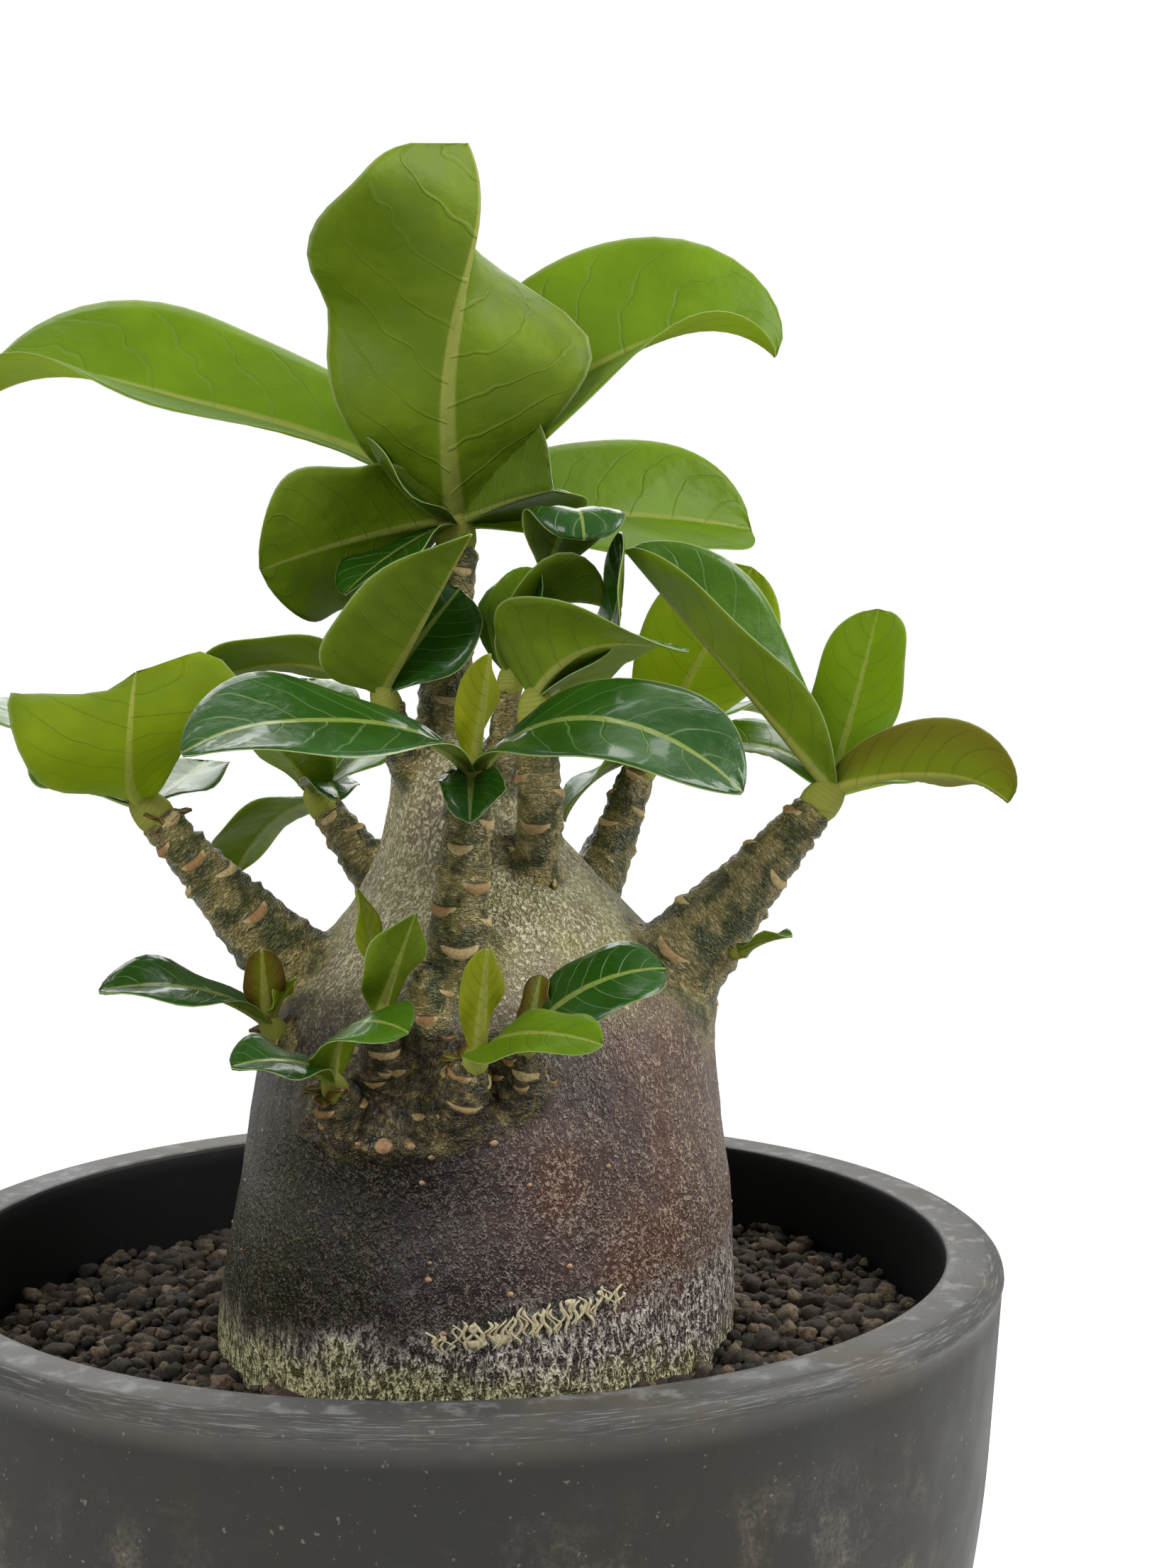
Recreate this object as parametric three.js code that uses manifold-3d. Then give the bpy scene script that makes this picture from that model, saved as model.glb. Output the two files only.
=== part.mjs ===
// A potted desert rose: a swollen trunk with branches and side sprouts, standing in
// granular soil in a round pot. Millimetres, +Z up, origin at the middle of the pot's base.
// Azimuths are degrees seen from above: 0 is +X, 90 is +Y.
import * as THREE from "three";
import { mergeVertices } from "three/addons/utils/BufferGeometryUtils.js";
import Module from "manifold-3d";

const wasm = await Module();
wasm.setup();

// Pot
const POT_HEIGHT = 190;
const RIM_RADIUS = 125;
const WALL = 13;
const RIM_ROUND = 4;
const RIM_EASE = 1;
const FOOT_EASE = 3;
const FOOT_SET_BACK = 3.5;
const FOOT_CURVE_START = 12;
const WALL_DRAFT = 0.068;
const BOWL_START = 150;
const BOWL_ROUND = 300;
const POT_FLOOR = 12;
const POT_SIDES = 48;
const DRAIN_COUNT = 5;
const DRAIN_RADIUS = 6;
const DRAIN_CIRCLE = 38;
const DRAIN_SIDES = 12;

// Soil
const SOIL_LEVEL = 167.5;
const SOIL_SLOPE = 0.02;
const SOIL_SEAT = 162;
const SOIL_RINGS = 8;
const GRAIN = 1.3;
const GAP = 0.3;
const ROOT_GAP = 0.45;

// Trunk
const TRUNK_LEAN = 5.5;
const ROOT_DEPTH = 110;
const TRUNK_SIDES = 38;
const TRUNK_RINGS = 22;
const TRUNK_TOP = 308;
const TWIG = 10;
const RELIEF_START = 176;
const RELIEF_FULL = 196;

// Stems
const STEM_FLARE = 1.6;
const KNOBS = 0.05;

// Leaves
const BLADE = 0.8;
const MIDRIB = 1.3;
const STEPS_MIN = 1;
const STEPS_MAX = 10;
const STEP_LENGTH = 9.5;
const BUD_SIDES = 8;
const BUD_FIT = 0.95;

const radians = THREE.MathUtils.degToRad;

// Solids

function solid(geometry) {
  const bare = geometry.clone();
  bare.deleteAttribute("normal");
  bare.deleteAttribute("uv");
  const merged = mergeVertices(bare, 1e-4);
  const mesh = new wasm.Mesh({
    numProp: 3,
    vertProperties: Float32Array.from(merged.attributes.position.array),
    triVerts: Uint32Array.from(merged.index.array),
  });
  return new wasm.Manifold(mesh);
}

function geometryOf(body) {
  const mesh = body.getMesh();
  const geometry = new THREE.BufferGeometry();
  geometry.setAttribute("position", new THREE.BufferAttribute(mesh.vertProperties, 3));
  geometry.setIndex(new THREE.BufferAttribute(mesh.triVerts, 1));
  const flat = geometry.toNonIndexed();
  flat.computeVertexNormals();
  return flat;
}

function named(name, body, material) {
  const mesh = new THREE.Mesh(geometryOf(body), material);
  mesh.name = name;
  return mesh;
}

function joined(bodies) {
  return bodies.reduce((whole, body) => whole.add(body));
}

// A turned shape: the profile is a list of [radius, height], and the axis is +Z.
function turned(profile, sides) {
  const points = profile.map(([radius, height]) => new THREE.Vector2(radius, height));
  return new THREE.LatheGeometry(points, sides).rotateX(Math.PI / 2);
}

function moveVertices(geometry, move) {
  const position = geometry.attributes.position;
  const point = new THREE.Vector3();
  for (let i = 0; i < position.count; i += 1) {
    point.fromBufferAttribute(position, i);
    move(point);
    position.setXYZ(i, point.x, point.y, point.z);
  }
  return geometry;
}

// A repeatable scatter between -1 and 1 for a place seen from above.
function scatter(x, y) {
  const wave = Math.sin(Math.round(x * 7) * 12.9898 + Math.round(y * 7) * 78.233);
  const spread = wave * 43758.5453;
  return (spread - Math.floor(spread)) * 2 - 1;
}

// Pot

// The outer wall tapers straight down from the rim, then curves in like a bowl.
function wallRadius(height) {
  if (height >= BOWL_START) {
    return RIM_RADIUS - WALL_DRAFT * (POT_HEIGHT - height);
  }
  const start = RIM_RADIUS - WALL_DRAFT * (POT_HEIGHT - BOWL_START);
  const lean = Math.atan(WALL_DRAFT);
  const turn = Math.asin(Math.sin(lean) + (BOWL_START - height) / BOWL_ROUND);
  return start - BOWL_ROUND * (Math.cos(lean) - Math.cos(turn));
}

function wallLine(from, to, steps, inset) {
  return Array.from({ length: steps + 1 }, (_, i) => {
    const height = from + ((to - from) * i) / steps;
    return [wallRadius(height) - inset, height];
  });
}

function makePot() {
  const rimOuter = wallRadius(POT_HEIGHT);
  const rimInner = rimOuter - WALL;
  const rimTop = [
    [rimOuter - RIM_ROUND * (1 - Math.SQRT1_2), POT_HEIGHT - RIM_ROUND * (1 - Math.SQRT1_2)],
    [rimOuter - RIM_ROUND, POT_HEIGHT],
    [rimInner + RIM_EASE, POT_HEIGHT],
    [rimInner, POT_HEIGHT - RIM_EASE],
  ];
  const foot = [[0, 0], [wallRadius(FOOT_EASE) - FOOT_SET_BACK, 0], [wallRadius(FOOT_EASE), FOOT_EASE]];
  const outer = wallLine(FOOT_CURVE_START, POT_HEIGHT - RIM_ROUND, 7, 0);
  const inner = wallLine(SOIL_SEAT, POT_FLOOR, 5, WALL);
  const profile = [...foot, ...outer, ...rimTop, ...inner, [0, POT_FLOOR]];
  let pot = solid(turned(profile, POT_SIDES));
  for (let i = 0; i < DRAIN_COUNT; i += 1) {
    const angle = (i / DRAIN_COUNT) * 2 * Math.PI;
    const hole = new THREE.CylinderGeometry(DRAIN_RADIUS, DRAIN_RADIUS, 3 * POT_FLOOR, DRAIN_SIDES);
    hole.rotateX(Math.PI / 2);
    hole.translate(DRAIN_CIRCLE * Math.cos(angle), DRAIN_CIRCLE * Math.sin(angle), 0);
    pot = pot.subtract(solid(hole));
  }
  return pot;
}

// Trunk

// Radius of the swollen trunk against height, rounded off under the soil and at the neck.
const TRUNK_OUTLINE = [
  [0, ROOT_DEPTH], [38, 113], [52, 128], [58, 148], [59, 168], [58, 187], [54.5, 213], [51, 233],
  [46, 246], [37, 257], [29, 268], [22, 279], [16, 291], [12.5, 301], [0, TRUNK_TOP],
];

// Side swellings: azimuth, height, how far out, half spread in degrees and in height.
const SWELLINGS = [
  { azimuth: 183, height: 249, out: 6, spread: 26, tall: 11 },
  { azimuth: 352, height: 250, out: 7, spread: 28, tall: 13 },
  { azimuth: 262, height: 258, out: 7, spread: 24, tall: 12 },
  { azimuth: 250, height: 224, out: 4, spread: 34, tall: 9 },
  { azimuth: 115, height: 258, out: 5, spread: 24, tall: 12 },
  { azimuth: 52, height: 262, out: 5, spread: 24, tall: 12 },
  { azimuth: 300, height: 268, out: 4, spread: 22, tall: 9 },
  { azimuth: 215, height: 190, out: 1.5, spread: 30, tall: 30 },
  { azimuth: 320, height: 205, out: 1.5, spread: 26, tall: 26 },
];

// The trunk's middle shifts sideways as it rises.
function trunkMiddle(height) {
  const belly = THREE.MathUtils.smoothstep(height, 168, 215);
  const neck = THREE.MathUtils.smoothstep(height, 262, 304);
  return TRUNK_LEAN + 2 * belly - 7 * neck;
}

function swelling(azimuth, height) {
  return SWELLINGS.reduce((sum, swell) => {
    const off = Math.abs(((azimuth - swell.azimuth + 540) % 360) - 180) / swell.spread;
    const up = (height - swell.height) / swell.tall;
    return sum + swell.out * Math.exp(-off * off - up * up);
  }, 0);
}

// The outline smoothed by a spline, as [radius, height] from the root end up.
function trunkProfile() {
  const corners = TRUNK_OUTLINE.map(([radius, height]) => new THREE.Vector2(radius, height));
  const points = new THREE.SplineCurve(corners).getPoints(TRUNK_RINGS);
  return points.map((point) => [Math.max(point.x, 0), point.y]);
}

function trunkBody() {
  return moveVertices(turned(trunkProfile(), TRUNK_SIDES), (point) => {
    const radius = Math.hypot(point.x, point.y);
    const azimuth = THREE.MathUtils.radToDeg(Math.atan2(point.y, point.x));
    const relief = THREE.MathUtils.smoothstep(point.z, RELIEF_START, RELIEF_FULL);
    const flutes = 0.9 * Math.sin(radians(3 * azimuth + 40)) + 0.5 * Math.sin(radians(7 * azimuth));
    const out = radius > TWIG ? relief * (swelling(azimuth, point.z) + flutes) : 0;
    const scale = radius > 0 ? (radius + out) / radius : 1;
    point.x = point.x * scale + trunkMiddle(point.z);
    point.y *= scale;
  });
}

// The hole in the soil follows the buried part of the trunk, a gap wider.
function rootHole() {
  const buried = trunkProfile().filter(([, height]) => height < RELIEF_FULL);
  const walls = buried.slice(1).map(([radius, height]) => [radius + ROOT_GAP, height - ROOT_GAP]);
  const bottom = [0, ROOT_DEPTH - ROOT_GAP];
  const lid = [0, walls[walls.length - 1][1]];
  return solid(moveVertices(turned([bottom, ...walls, lid], TRUNK_SIDES), (point) => {
    point.x += trunkMiddle(point.z);
  }));
}

// Soil

function makeSoil() {
  const wall = wallLine(POT_FLOOR, SOIL_SEAT, 5, WALL + GAP);
  wall[0][1] += GAP;
  const rim = wallRadius(SOIL_SEAT) - WALL - GAP;
  const top = Array.from({ length: SOIL_RINGS + 1 }, (_, i) => [rim * (1 - i / SOIL_RINGS), SOIL_LEVEL]);
  const body = moveVertices(turned([[0, POT_FLOOR + GAP], ...wall, ...top], POT_SIDES), (point) => {
    if (point.z > SOIL_LEVEL - 0.1) {
      point.z += SOIL_SLOPE * point.x + GRAIN * scatter(point.x, point.y);
    }
  });
  return solid(body).subtract(rootHole());
}

// Branches

function stemCurve(path) {
  return new THREE.CatmullRomCurve3(path.map(([x, y, z]) => new THREE.Vector3(x, y, z)));
}

// A tapering stem along its path, with raised knobs of old leaf scars in a spiral.
function stem({ path, root, tip, sides = 8, steps = 8 }) {
  const curve = stemCurve(path);
  const geometry = new THREE.CylinderGeometry(1, 1, 1, sides, steps);
  const up = new THREE.Vector3(0, 1, 0);
  const turn = new THREE.Quaternion();
  return moveVertices(geometry, (point) => {
    const along = point.y + 0.5;
    const tangent = curve.getTangent(along);
    const knob = along < 1 ? KNOBS * Math.sin(along * steps * Math.PI + 2 * Math.atan2(point.z, point.x)) : 0;
    const radius = (tip + (root - tip) * (1 - along) ** STEM_FLARE) * (1 + knob);
    turn.setFromUnitVectors(up, tangent);
    point.set(point.x * radius, 0, point.z * radius).applyQuaternion(turn).add(curve.getPoint(along));
  });
}

function stemEnd({ path }) {
  const curve = stemCurve(path);
  return { point: curve.getPoint(1), direction: curve.getTangent(1) };
}

// Leaves

// A leaf is an arched midrib with a thin blade. Angles are degrees and sizes millimetres.
// azimuth, rise, sway, left and right are courses: one value, or several at evenly spaced places
// from the root to the tip. rise is the midrib's climb, and sway leans it to its right. left and
// right lift the two halves of the blade, as seen from the root, and curl lifts them further out
// to their margins. belly: where it is widest; point: 0.4 blunt, 1 sharp; stalk: half its width at
// the root; up: how high on the bud it is rooted.
const LEAF = {
  azimuth: 0, rise: [30, 10], left: 10, right: 10, length: 50, width: 24, sway: 0, curl: 0, wave: 1.5,
  waves: 1.5, belly: 0.62, point: 0.6, stalk: 1.7, up: 0.5,
};

// The value of a course on a smooth curve through its stations.
function follow(course, along) {
  const stations = [course].flat();
  const spans = stations.length - 1;
  if (spans === 0) {
    return stations[0];
  }
  const first = Math.min(Math.floor(along * spans), spans - 1);
  const t = along * spans - first;
  const start = stations[first];
  const end = stations[first + 1];
  const leave = first > 0 ? (end - stations[first - 1]) / 2 : end - start;
  const arrive = first + 2 <= spans ? (stations[first + 2] - start) / 2 : end - start;
  const bend = 2 * (start - end) + leave + arrive;
  return start + leave * t + (3 * (end - start) - 2 * leave - arrive) * t ** 2 + bend * t ** 3;
}

function leafFrame(leaf, along) {
  const azimuth = radians(follow(leaf.azimuth, along));
  const rise = radians(follow(leaf.rise, along));
  const sway = radians(follow(leaf.sway, along));
  const ahead = new THREE.Vector3(
    Math.cos(rise) * Math.cos(azimuth), Math.cos(rise) * Math.sin(azimuth), Math.sin(rise),
  );
  const upper = new THREE.Vector3(
    -Math.sin(rise) * Math.cos(azimuth), -Math.sin(rise) * Math.sin(azimuth), Math.cos(rise),
  );
  const level = new THREE.Vector3().crossVectors(ahead, upper);
  const forward = ahead.clone().multiplyScalar(Math.cos(sway)).addScaledVector(level, Math.sin(sway));
  const side = level.clone().multiplyScalar(Math.cos(sway)).addScaledVector(ahead, -Math.sin(sway));
  return { forward, side, upper };
}

function halfWidth(leaf, along) {
  const rootward = (leaf.belly * leaf.point) / (1 - leaf.belly);
  const peak = leaf.belly ** rootward * (1 - leaf.belly) ** leaf.point;
  const blade = (along ** rootward * (1 - along) ** leaf.point) / peak;
  return 0.5 * leaf.width * blade + leaf.stalk * (1 - along) + 0.3;
}

// Offset of the blade's middle surface from the midrib, and how far it is turned there.
function crossSection(leaf, along, across) {
  const reach = halfWidth(leaf, along);
  const out = Math.abs(across);
  const left = radians(follow(leaf.left, along));
  const right = radians(follow(leaf.right, along));
  const curl = radians(leaf.curl) || 1e-6;
  const inner = across > 0 ? right : left;
  const slope = inner + curl * out;
  const wave = leaf.wave * Math.sin(2 * Math.PI * leaf.waves * along + across)
    * out ** 2 * Math.sin(Math.PI * along) ** 0.5;
  return {
    side: Math.sign(across) * reach * (Math.sin(slope) - Math.sin(inner)) / curl,
    lift: reach * (Math.cos(inner) - Math.cos(slope)) / curl,
    turned: across === 0 ? 0.5 * (right - left) : Math.sign(across) * slope,
    wave,
  };
}

// The blade's grid is bent vertex by vertex and split into triangles alike on both faces.
function blade(leaf, root) {
  const steps = Math.round(THREE.MathUtils.clamp(STEPS_MIN + leaf.length / STEP_LENGTH, 4, STEPS_MAX));
  const lanes = leaf.width > 12 ? 4 : 2;
  const frames = [];
  const spine = [root.clone()];
  for (let i = 0; i <= steps; i += 1) {
    frames.push(leafFrame(leaf, i / steps));
  }
  for (let i = 0; i < steps; i += 1) {
    const stride = leafFrame(leaf, (i + 0.5) / steps).forward.multiplyScalar(leaf.length / steps);
    spine.push(spine[i].clone().add(stride));
  }
  const positions = [];
  for (const face of [1, -1]) {
    for (let i = 0; i <= steps; i += 1) {
      for (let j = 0; j <= lanes; j += 1) {
        const along = i / steps;
        const across = (2 * j) / lanes - 1;
        const { side, lift, turned, wave } = crossSection(leaf, along, across);
        const rib = MIDRIB * (1 - Math.abs(across)) * (1 - along);
        const out = wave + face * 0.5 * (BLADE + rib);
        const point = spine[i].clone()
          .addScaledVector(frames[i].side, side - out * Math.sin(turned))
          .addScaledVector(frames[i].upper, lift + out * Math.cos(turned));
        positions.push(point.x, point.y, point.z);
      }
    }
  }
  const geometry = new THREE.BufferGeometry();
  geometry.setAttribute("position", new THREE.Float32BufferAttribute(positions, 3));
  geometry.setIndex(bladeFaces(steps, lanes));
  return geometry;
}

function bladeFaces(steps, lanes) {
  const row = lanes + 1;
  const under = (steps + 1) * row;
  const faces = [];
  const quad = (a, b, c, d) => faces.push(a, b, c, a, c, d);
  for (let i = 0; i < steps; i += 1) {
    for (let j = 0; j < lanes; j += 1) {
      const a = i * row + j;
      const b = a + under;
      quad(a, a + 1, a + row + 1, a + row);
      faces.push(b, b + row + 1, b + 1, b, b + row, b + row + 1);
    }
    const left = i * row;
    const right = left + lanes;
    quad(left + under, left, left + row, left + row + under);
    quad(right, right + under, right + row + under, right + row);
  }
  for (let j = 0; j < lanes; j += 1) {
    const last = steps * row + j;
    quad(j, j + under, j + 1 + under, j + 1);
    quad(last + under, last, last + 1, last + 1 + under);
  }
  return faces;
}

// The green growing tip that the leaves of one shoot are rooted in.
function bud({ point, direction }, radius) {
  const profile = [
    [0, 0], [radius, 0], [1.05 * radius, 0.7 * radius], [0.7 * radius, 1.5 * radius], [0, 2.1 * radius],
  ];
  const geometry = turned(profile, BUD_SIDES);
  const turn = new THREE.Quaternion().setFromUnitVectors(new THREE.Vector3(0, 0, 1), direction);
  return moveVertices(geometry, (vertex) => {
    vertex.z += GAP;
    vertex.applyQuaternion(turn).add(point);
  });
}

function rosette(shoot) {
  const end = stemEnd(shoot);
  const radius = shoot.tip * BUD_FIT;
  const blades = shoot.leaves.map((leaf) => {
    const full = { ...LEAF, ...leaf };
    const root = end.point.clone().addScaledVector(end.direction, GAP + radius * (0.6 + full.up));
    return solid(blade(full, root));
  });
  return joined([solid(bud(end, radius)), ...blades]);
}

// Shoots

// Each shoot is a stem of the trunk that ends in its own leaves.
const SHOOTS = [
  {
    name: "leaves_leader", path: [[1, 4, 284], [-1, 5, 316], [1, 8, 348]], root: 9, tip: 5, steps: 8,
    leaves: [
      {
        azimuth: 270, rise: [50, 60, 68, 82, 108], sway: [6, 2, -8, -12, 22],
        left: [8, 4, -4, 10, 75, 100, 110], right: [8, 4, 8, 28, -8, -38, -40], length: 88, width: 68,
        belly: 0.72, point: 0.32, wave: 1,
      },
      {
        azimuth: [166, 176], rise: [45, 23, 14, 12, -34], left: [0, -5, -5, 0, 15],
        right: [50, 50, 48, 48, 38], length: 120, width: 54, belly: 0.66, point: 0.5,
      },
      {
        azimuth: [16, 0], rise: [58, 50, 30, 14, -45], left: [55, 65, 70, 65, 45],
        right: [-20, -9, -3, 0, 2], length: 95, width: 56, point: 0.6,
      },
      {
        azimuth: 195, rise: [-8, -22], left: 58, right: -56, length: 47, width: 40, wave: 3.5, waves: 1.8,
        up: 0.7,
      },
      { azimuth: [228, 208], rise: [10, 35, 62], left: -16, right: 44, length: 32, width: 14 },
      {
        azimuth: 318, rise: [22, 14, 6], left: -6, right: [95, 100, 95], length: 30, width: 42, belly: 0.6,
        point: 0.45, up: 0.3,
      },
      { azimuth: [36, 24], rise: [8, -8], left: [42, 56, 76], right: -24, length: 85, width: 44, up: 0.4 },
      { azimuth: 214, rise: [-16, -42], left: 8, right: 8, length: 34, width: 22, up: 0.4 },
      { azimuth: 96, rise: [50, 20], left: 12, right: 12, length: 60, width: 36 },
      { azimuth: 125, rise: [8, -22], left: 10, right: 10, length: 60, width: 32, up: 0.3 },
    ],
  },
  {
    name: "leaves_centre", path: [[5, -2, 284], [11, -7, 300], [13, -8, 316]], root: 6, tip: 3.2, steps: 6,
    leaves: [
      {
        azimuth: [26, 8], rise: [88, 58, 12, -20], left: 35, right: [58, 45, 30], length: 31, width: 30,
        point: 0.6,
      },
      { azimuth: 30, rise: [80, 74, 60], left: 64, right: -50, length: 24, width: 14 },
      {
        azimuth: [0, -10, -70, -85], rise: [60, 76, 34, -75], left: 10, right: 10, length: 56, width: 20,
        curl: -30, belly: 0.78, point: 0.4,
      },
    ],
  },
  {
    name: "leaves_front_right", path: [[14, -10, 262], [19, -20, 284], [18.5, -21, 309]], root: 6.5,
    tip: 4.6, steps: 7,
    leaves: [
      {
        azimuth: [300, 330, 345], rise: [50, 30, 0, -15], left: [0, -10, -10, 0],
        right: [74, 62, 40, 10, 0], length: 42, width: 34, belly: 0.3, point: 1, wave: 1,
      },
      { azimuth: [18, 6], rise: [26, 44, 80, 95], left: 10, right: 10, length: 45, width: 24, belly: 0.5 },
    ],
  },
  {
    name: "leaves_centre_left", path: [[-3, 0, 286], [-10, -7, 300], [-14, -12, 312]], root: 5.5, tip: 3.6,
    steps: 6,
    leaves: [
      {
        azimuth: 314, rise: 50, left: 50, right: [10, 15, 20, 10], length: 44, width: 38, belly: 0.3,
        point: 0.8, wave: 1,
      },
      { azimuth: 30, rise: [50, 46], left: 44, right: -32, length: 30, width: 25 },
      { azimuth: [160, 185], rise: [32, -30], left: 30, right: -10, length: 44, width: 26 },
    ],
  },
  {
    name: "leaves_front", path: [[3, -24, 236], [1.5, -40, 260], [4, -44, 294]], root: 11.5, tip: 5,
    steps: 9,
    leaves: [
      {
        azimuth: [232, 198], rise: [40, 18, 4, -5, -32], left: -15, right: 28, length: 72, width: 35,
        point: 0.75,
      },
      {
        azimuth: [312, 340], rise: [40, 22, -2, -24, -44], left: 29, right: -19, length: 70, width: 35,
        point: 0.85,
      },
      { azimuth: 300, rise: [72, 76], left: 38, right: 38, length: 26, width: 10, point: 0.8, stalk: 1.2 },
      { azimuth: 268, rise: [4, -52], left: 24, right: 24, length: 20, width: 13, stalk: 1.4, up: 0.3 },
    ],
  },
  {
    name: "leaves_left", path: [[-20, -3, 238], [-46, -6, 265], [-65, -8, 287]], root: 13.5, tip: 4.6,
    steps: 9,
    leaves: [
      {
        azimuth: [262, 270], rise: [18, 42, 80, 152], sway: [8, -6, -8, 0], left: [10, 38, 20, -30],
        right: [10, -16, -20, 40], length: 40, width: 50, wave: 1, belly: 0.76, point: 0.35,
      },
      { azimuth: 130, rise: [4, 14], left: 8, right: 8, length: 42, width: 22, up: 0.3 },
      { azimuth: 75, rise: [8, 14], left: 10, right: 10, length: 38, width: 20, up: 0.3 },
      { azimuth: 140, rise: [36, 4], left: 10, right: 10, length: 62, width: 26 },
    ],
  },
  {
    name: "leaves_back_left", path: [[0, 18, 248], [-17, 30, 269], [-30, 37, 285]], root: 11, tip: 4.4,
    steps: 7,
    leaves: [
      { azimuth: [250, 200], rise: 40, left: 14, right: 14, length: 35, width: 26 },
      { azimuth: 130, rise: [-10, -52], left: 10, right: 10, length: 42, width: 22, up: 0.3 },
      { azimuth: 285, rise: [36, -30], left: 10, right: 10, length: 26, width: 12, up: 0.3 },
      { azimuth: 48, rise: [32, 10], left: 10, right: 10, length: 40, width: 22 },
      { azimuth: 95, rise: [52, 22], left: 10, right: 10, length: 44, width: 24, up: 0.7 },
    ],
  },
  {
    name: "leaves_right", path: [[30, -4, 230], [60, -8, 264], [82, -8, 289]], root: 18, tip: 4.8,
    steps: 10,
    leaves: [
      { azimuth: [206, 166], rise: [47, 49], left: 25, right: 72, length: 72, width: 34 },
      { azimuth: 42, rise: [64, 70], left: 6, right: 6, length: 44, width: 25, point: 0.5 },
      {
        azimuth: [320, 350], rise: [20, 8, -5, -45], left: -10, right: [60, 74, 74, 60], length: 43,
        width: 24,
      },
      { azimuth: [40, 20], rise: [8, 0], left: 10, right: 10, length: 46, width: 20, up: 0.2 },
      { azimuth: [128, 154], rise: [40, -30], left: 0, right: 20, length: 48, width: 26 },
    ],
  },
  {
    name: "leaves_back_right", path: [[22, 14, 250], [37, 28, 274], [45, 32, 294]], root: 11, tip: 4.4,
    steps: 7,
    leaves: [
      { azimuth: 330, rise: 58, left: -50, right: 56, length: 52, width: 31, up: 0.7 },
      { azimuth: 42, rise: [36, -20], left: 10, right: 10, length: 50, width: 26, up: 0.7 },
      { azimuth: [175, 185], rise: [-10, -70], left: 10, right: 10, length: 27, width: 18, up: 0.6 },
      { azimuth: 95, rise: [30, -40], left: 10, right: 10, length: 44, width: 22, up: 0.4 },
    ],
  },
  {
    name: "sprout_left", path: [[-28, -19, 230], [-35, -24, 237], [-38, -26, 242]], root: 4.5, tip: 3,
    sides: 7, steps: 3,
    leaves: [
      { azimuth: [222, 190], rise: [38, -10], left: -6, right: 26, length: 40, width: 19 },
      { azimuth: 265, rise: [62, 74], left: 10, right: 10, length: 18, width: 8, stalk: 1 },
      { azimuth: 340, rise: [66, 46], left: 10, right: 10, length: 12, width: 6, stalk: 1 },
    ],
  },
  {
    name: "sprout_front_left", path: [[-18, -40, 219], [-22, -48, 227], [-24, -51, 234]], root: 5, tip: 3,
    sides: 7, steps: 3,
    leaves: [
      { azimuth: [232, 208], rise: [36, -10], left: -10, right: 30, length: 26, width: 14, stalk: 1.2 },
      { azimuth: [280, 335], rise: [78, -24], left: 20, right: -20, length: 32, width: 20, stalk: 1.2 },
    ],
  },
  {
    name: "sprout_centre", path: [[-13, -38, 230], [-15, -46, 238], [-15, -48, 247]], root: 4.5, tip: 2.8,
    sides: 7, steps: 4,
    leaves: [
      { azimuth: [290, 330], rise: [54, 68], left: 10, right: 10, length: 25, width: 14, stalk: 1.2 },
      { azimuth: 150, rise: [84, 72], left: 10, right: 10, length: 26, width: 6, stalk: 1 },
    ],
  },
  {
    name: "sprout_front", path: [[-3, -46, 220], [0, -55, 231], [4, -61, 241]], root: 6, tip: 3, sides: 7,
    steps: 3,
    leaves: [
      { azimuth: 290, rise: 76, left: 24, right: 24, length: 23, width: 8, stalk: 1.2 },
      {
        azimuth: [292, 336], rise: [34, -14], left: 24, right: -20, length: 36, width: 18, belly: 0.54,
        stalk: 1.2,
      },
    ],
  },
  {
    name: "sprout_front_right", path: [[10, -44, 224], [13, -51, 233], [15, -54, 242]], root: 5.5, tip: 3,
    sides: 7, steps: 3,
    leaves: [
      { azimuth: [330, 380], rise: [58, -4], left: 34, right: -30, length: 34, width: 20, stalk: 1.2 },
      { azimuth: 60, rise: 66, left: 10, right: 10, length: 14, width: 6, stalk: 1 },
    ],
  },
  {
    name: "sprout_under_right", path: [[58, -8, 258], [61, -12, 256], [63.5, -15, 257]], root: 2.4,
    tip: 1.6, sides: 7, steps: 2,
    leaves: [
      { azimuth: [285, 345], rise: [34, 4], left: 10, right: 10, length: 15, width: 8, stalk: 0.9 },
    ],
  },
];

// A leafless stub in front of the trunk.
const BARE_STUB = {
  path: [[-5, -38, 238], [-5, -45, 247], [-5, -45, 259]], root: 5, tip: 3.8, sides: 7, steps: 4,
};

function makeTrunk() {
  const stems = [...SHOOTS, BARE_STUB].map((shoot) => solid(stem(shoot)));
  return joined([solid(trunkBody()), ...stems]);
}

// Materials

const plastic = () => new THREE.MeshStandardMaterial({ color: 0x3a3b3d, roughness: 0.6, metalness: 0 });
const granules = () => new THREE.MeshStandardMaterial({ color: 0x4a4038, roughness: 1, metalness: 0 });
const bark = () => new THREE.MeshStandardMaterial({ color: 0x57463f, roughness: 0.55, metalness: 0 });
const foliage = () => new THREE.MeshStandardMaterial({ color: 0x3f7d1e, roughness: 0.4, metalness: 0 });

// Assembly

const plant = new THREE.Group();
plant.add(named("pot", makePot(), plastic()));
plant.add(named("soil", makeSoil(), granules()));
plant.add(named("trunk", makeTrunk(), bark()));
for (const shoot of SHOOTS) {
  plant.add(named(shoot.name, rosette(shoot), foliage()));
}

export default plant;
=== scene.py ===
"""A potted desert rose: leaf tufts on ringed branches, a swollen trunk, gritty soil and a round planter.

The classes below keep their sizes in millimetres, and a mesh becomes metres when its piece is finished.
Azimuths are degrees seen from above: 0 is +X, 90 is +Y.
"""
import logging
import math
import random
from dataclasses import dataclass
from enum import Enum
from functools import cached_property
from typing import Callable, Sequence, TypeVar

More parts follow.
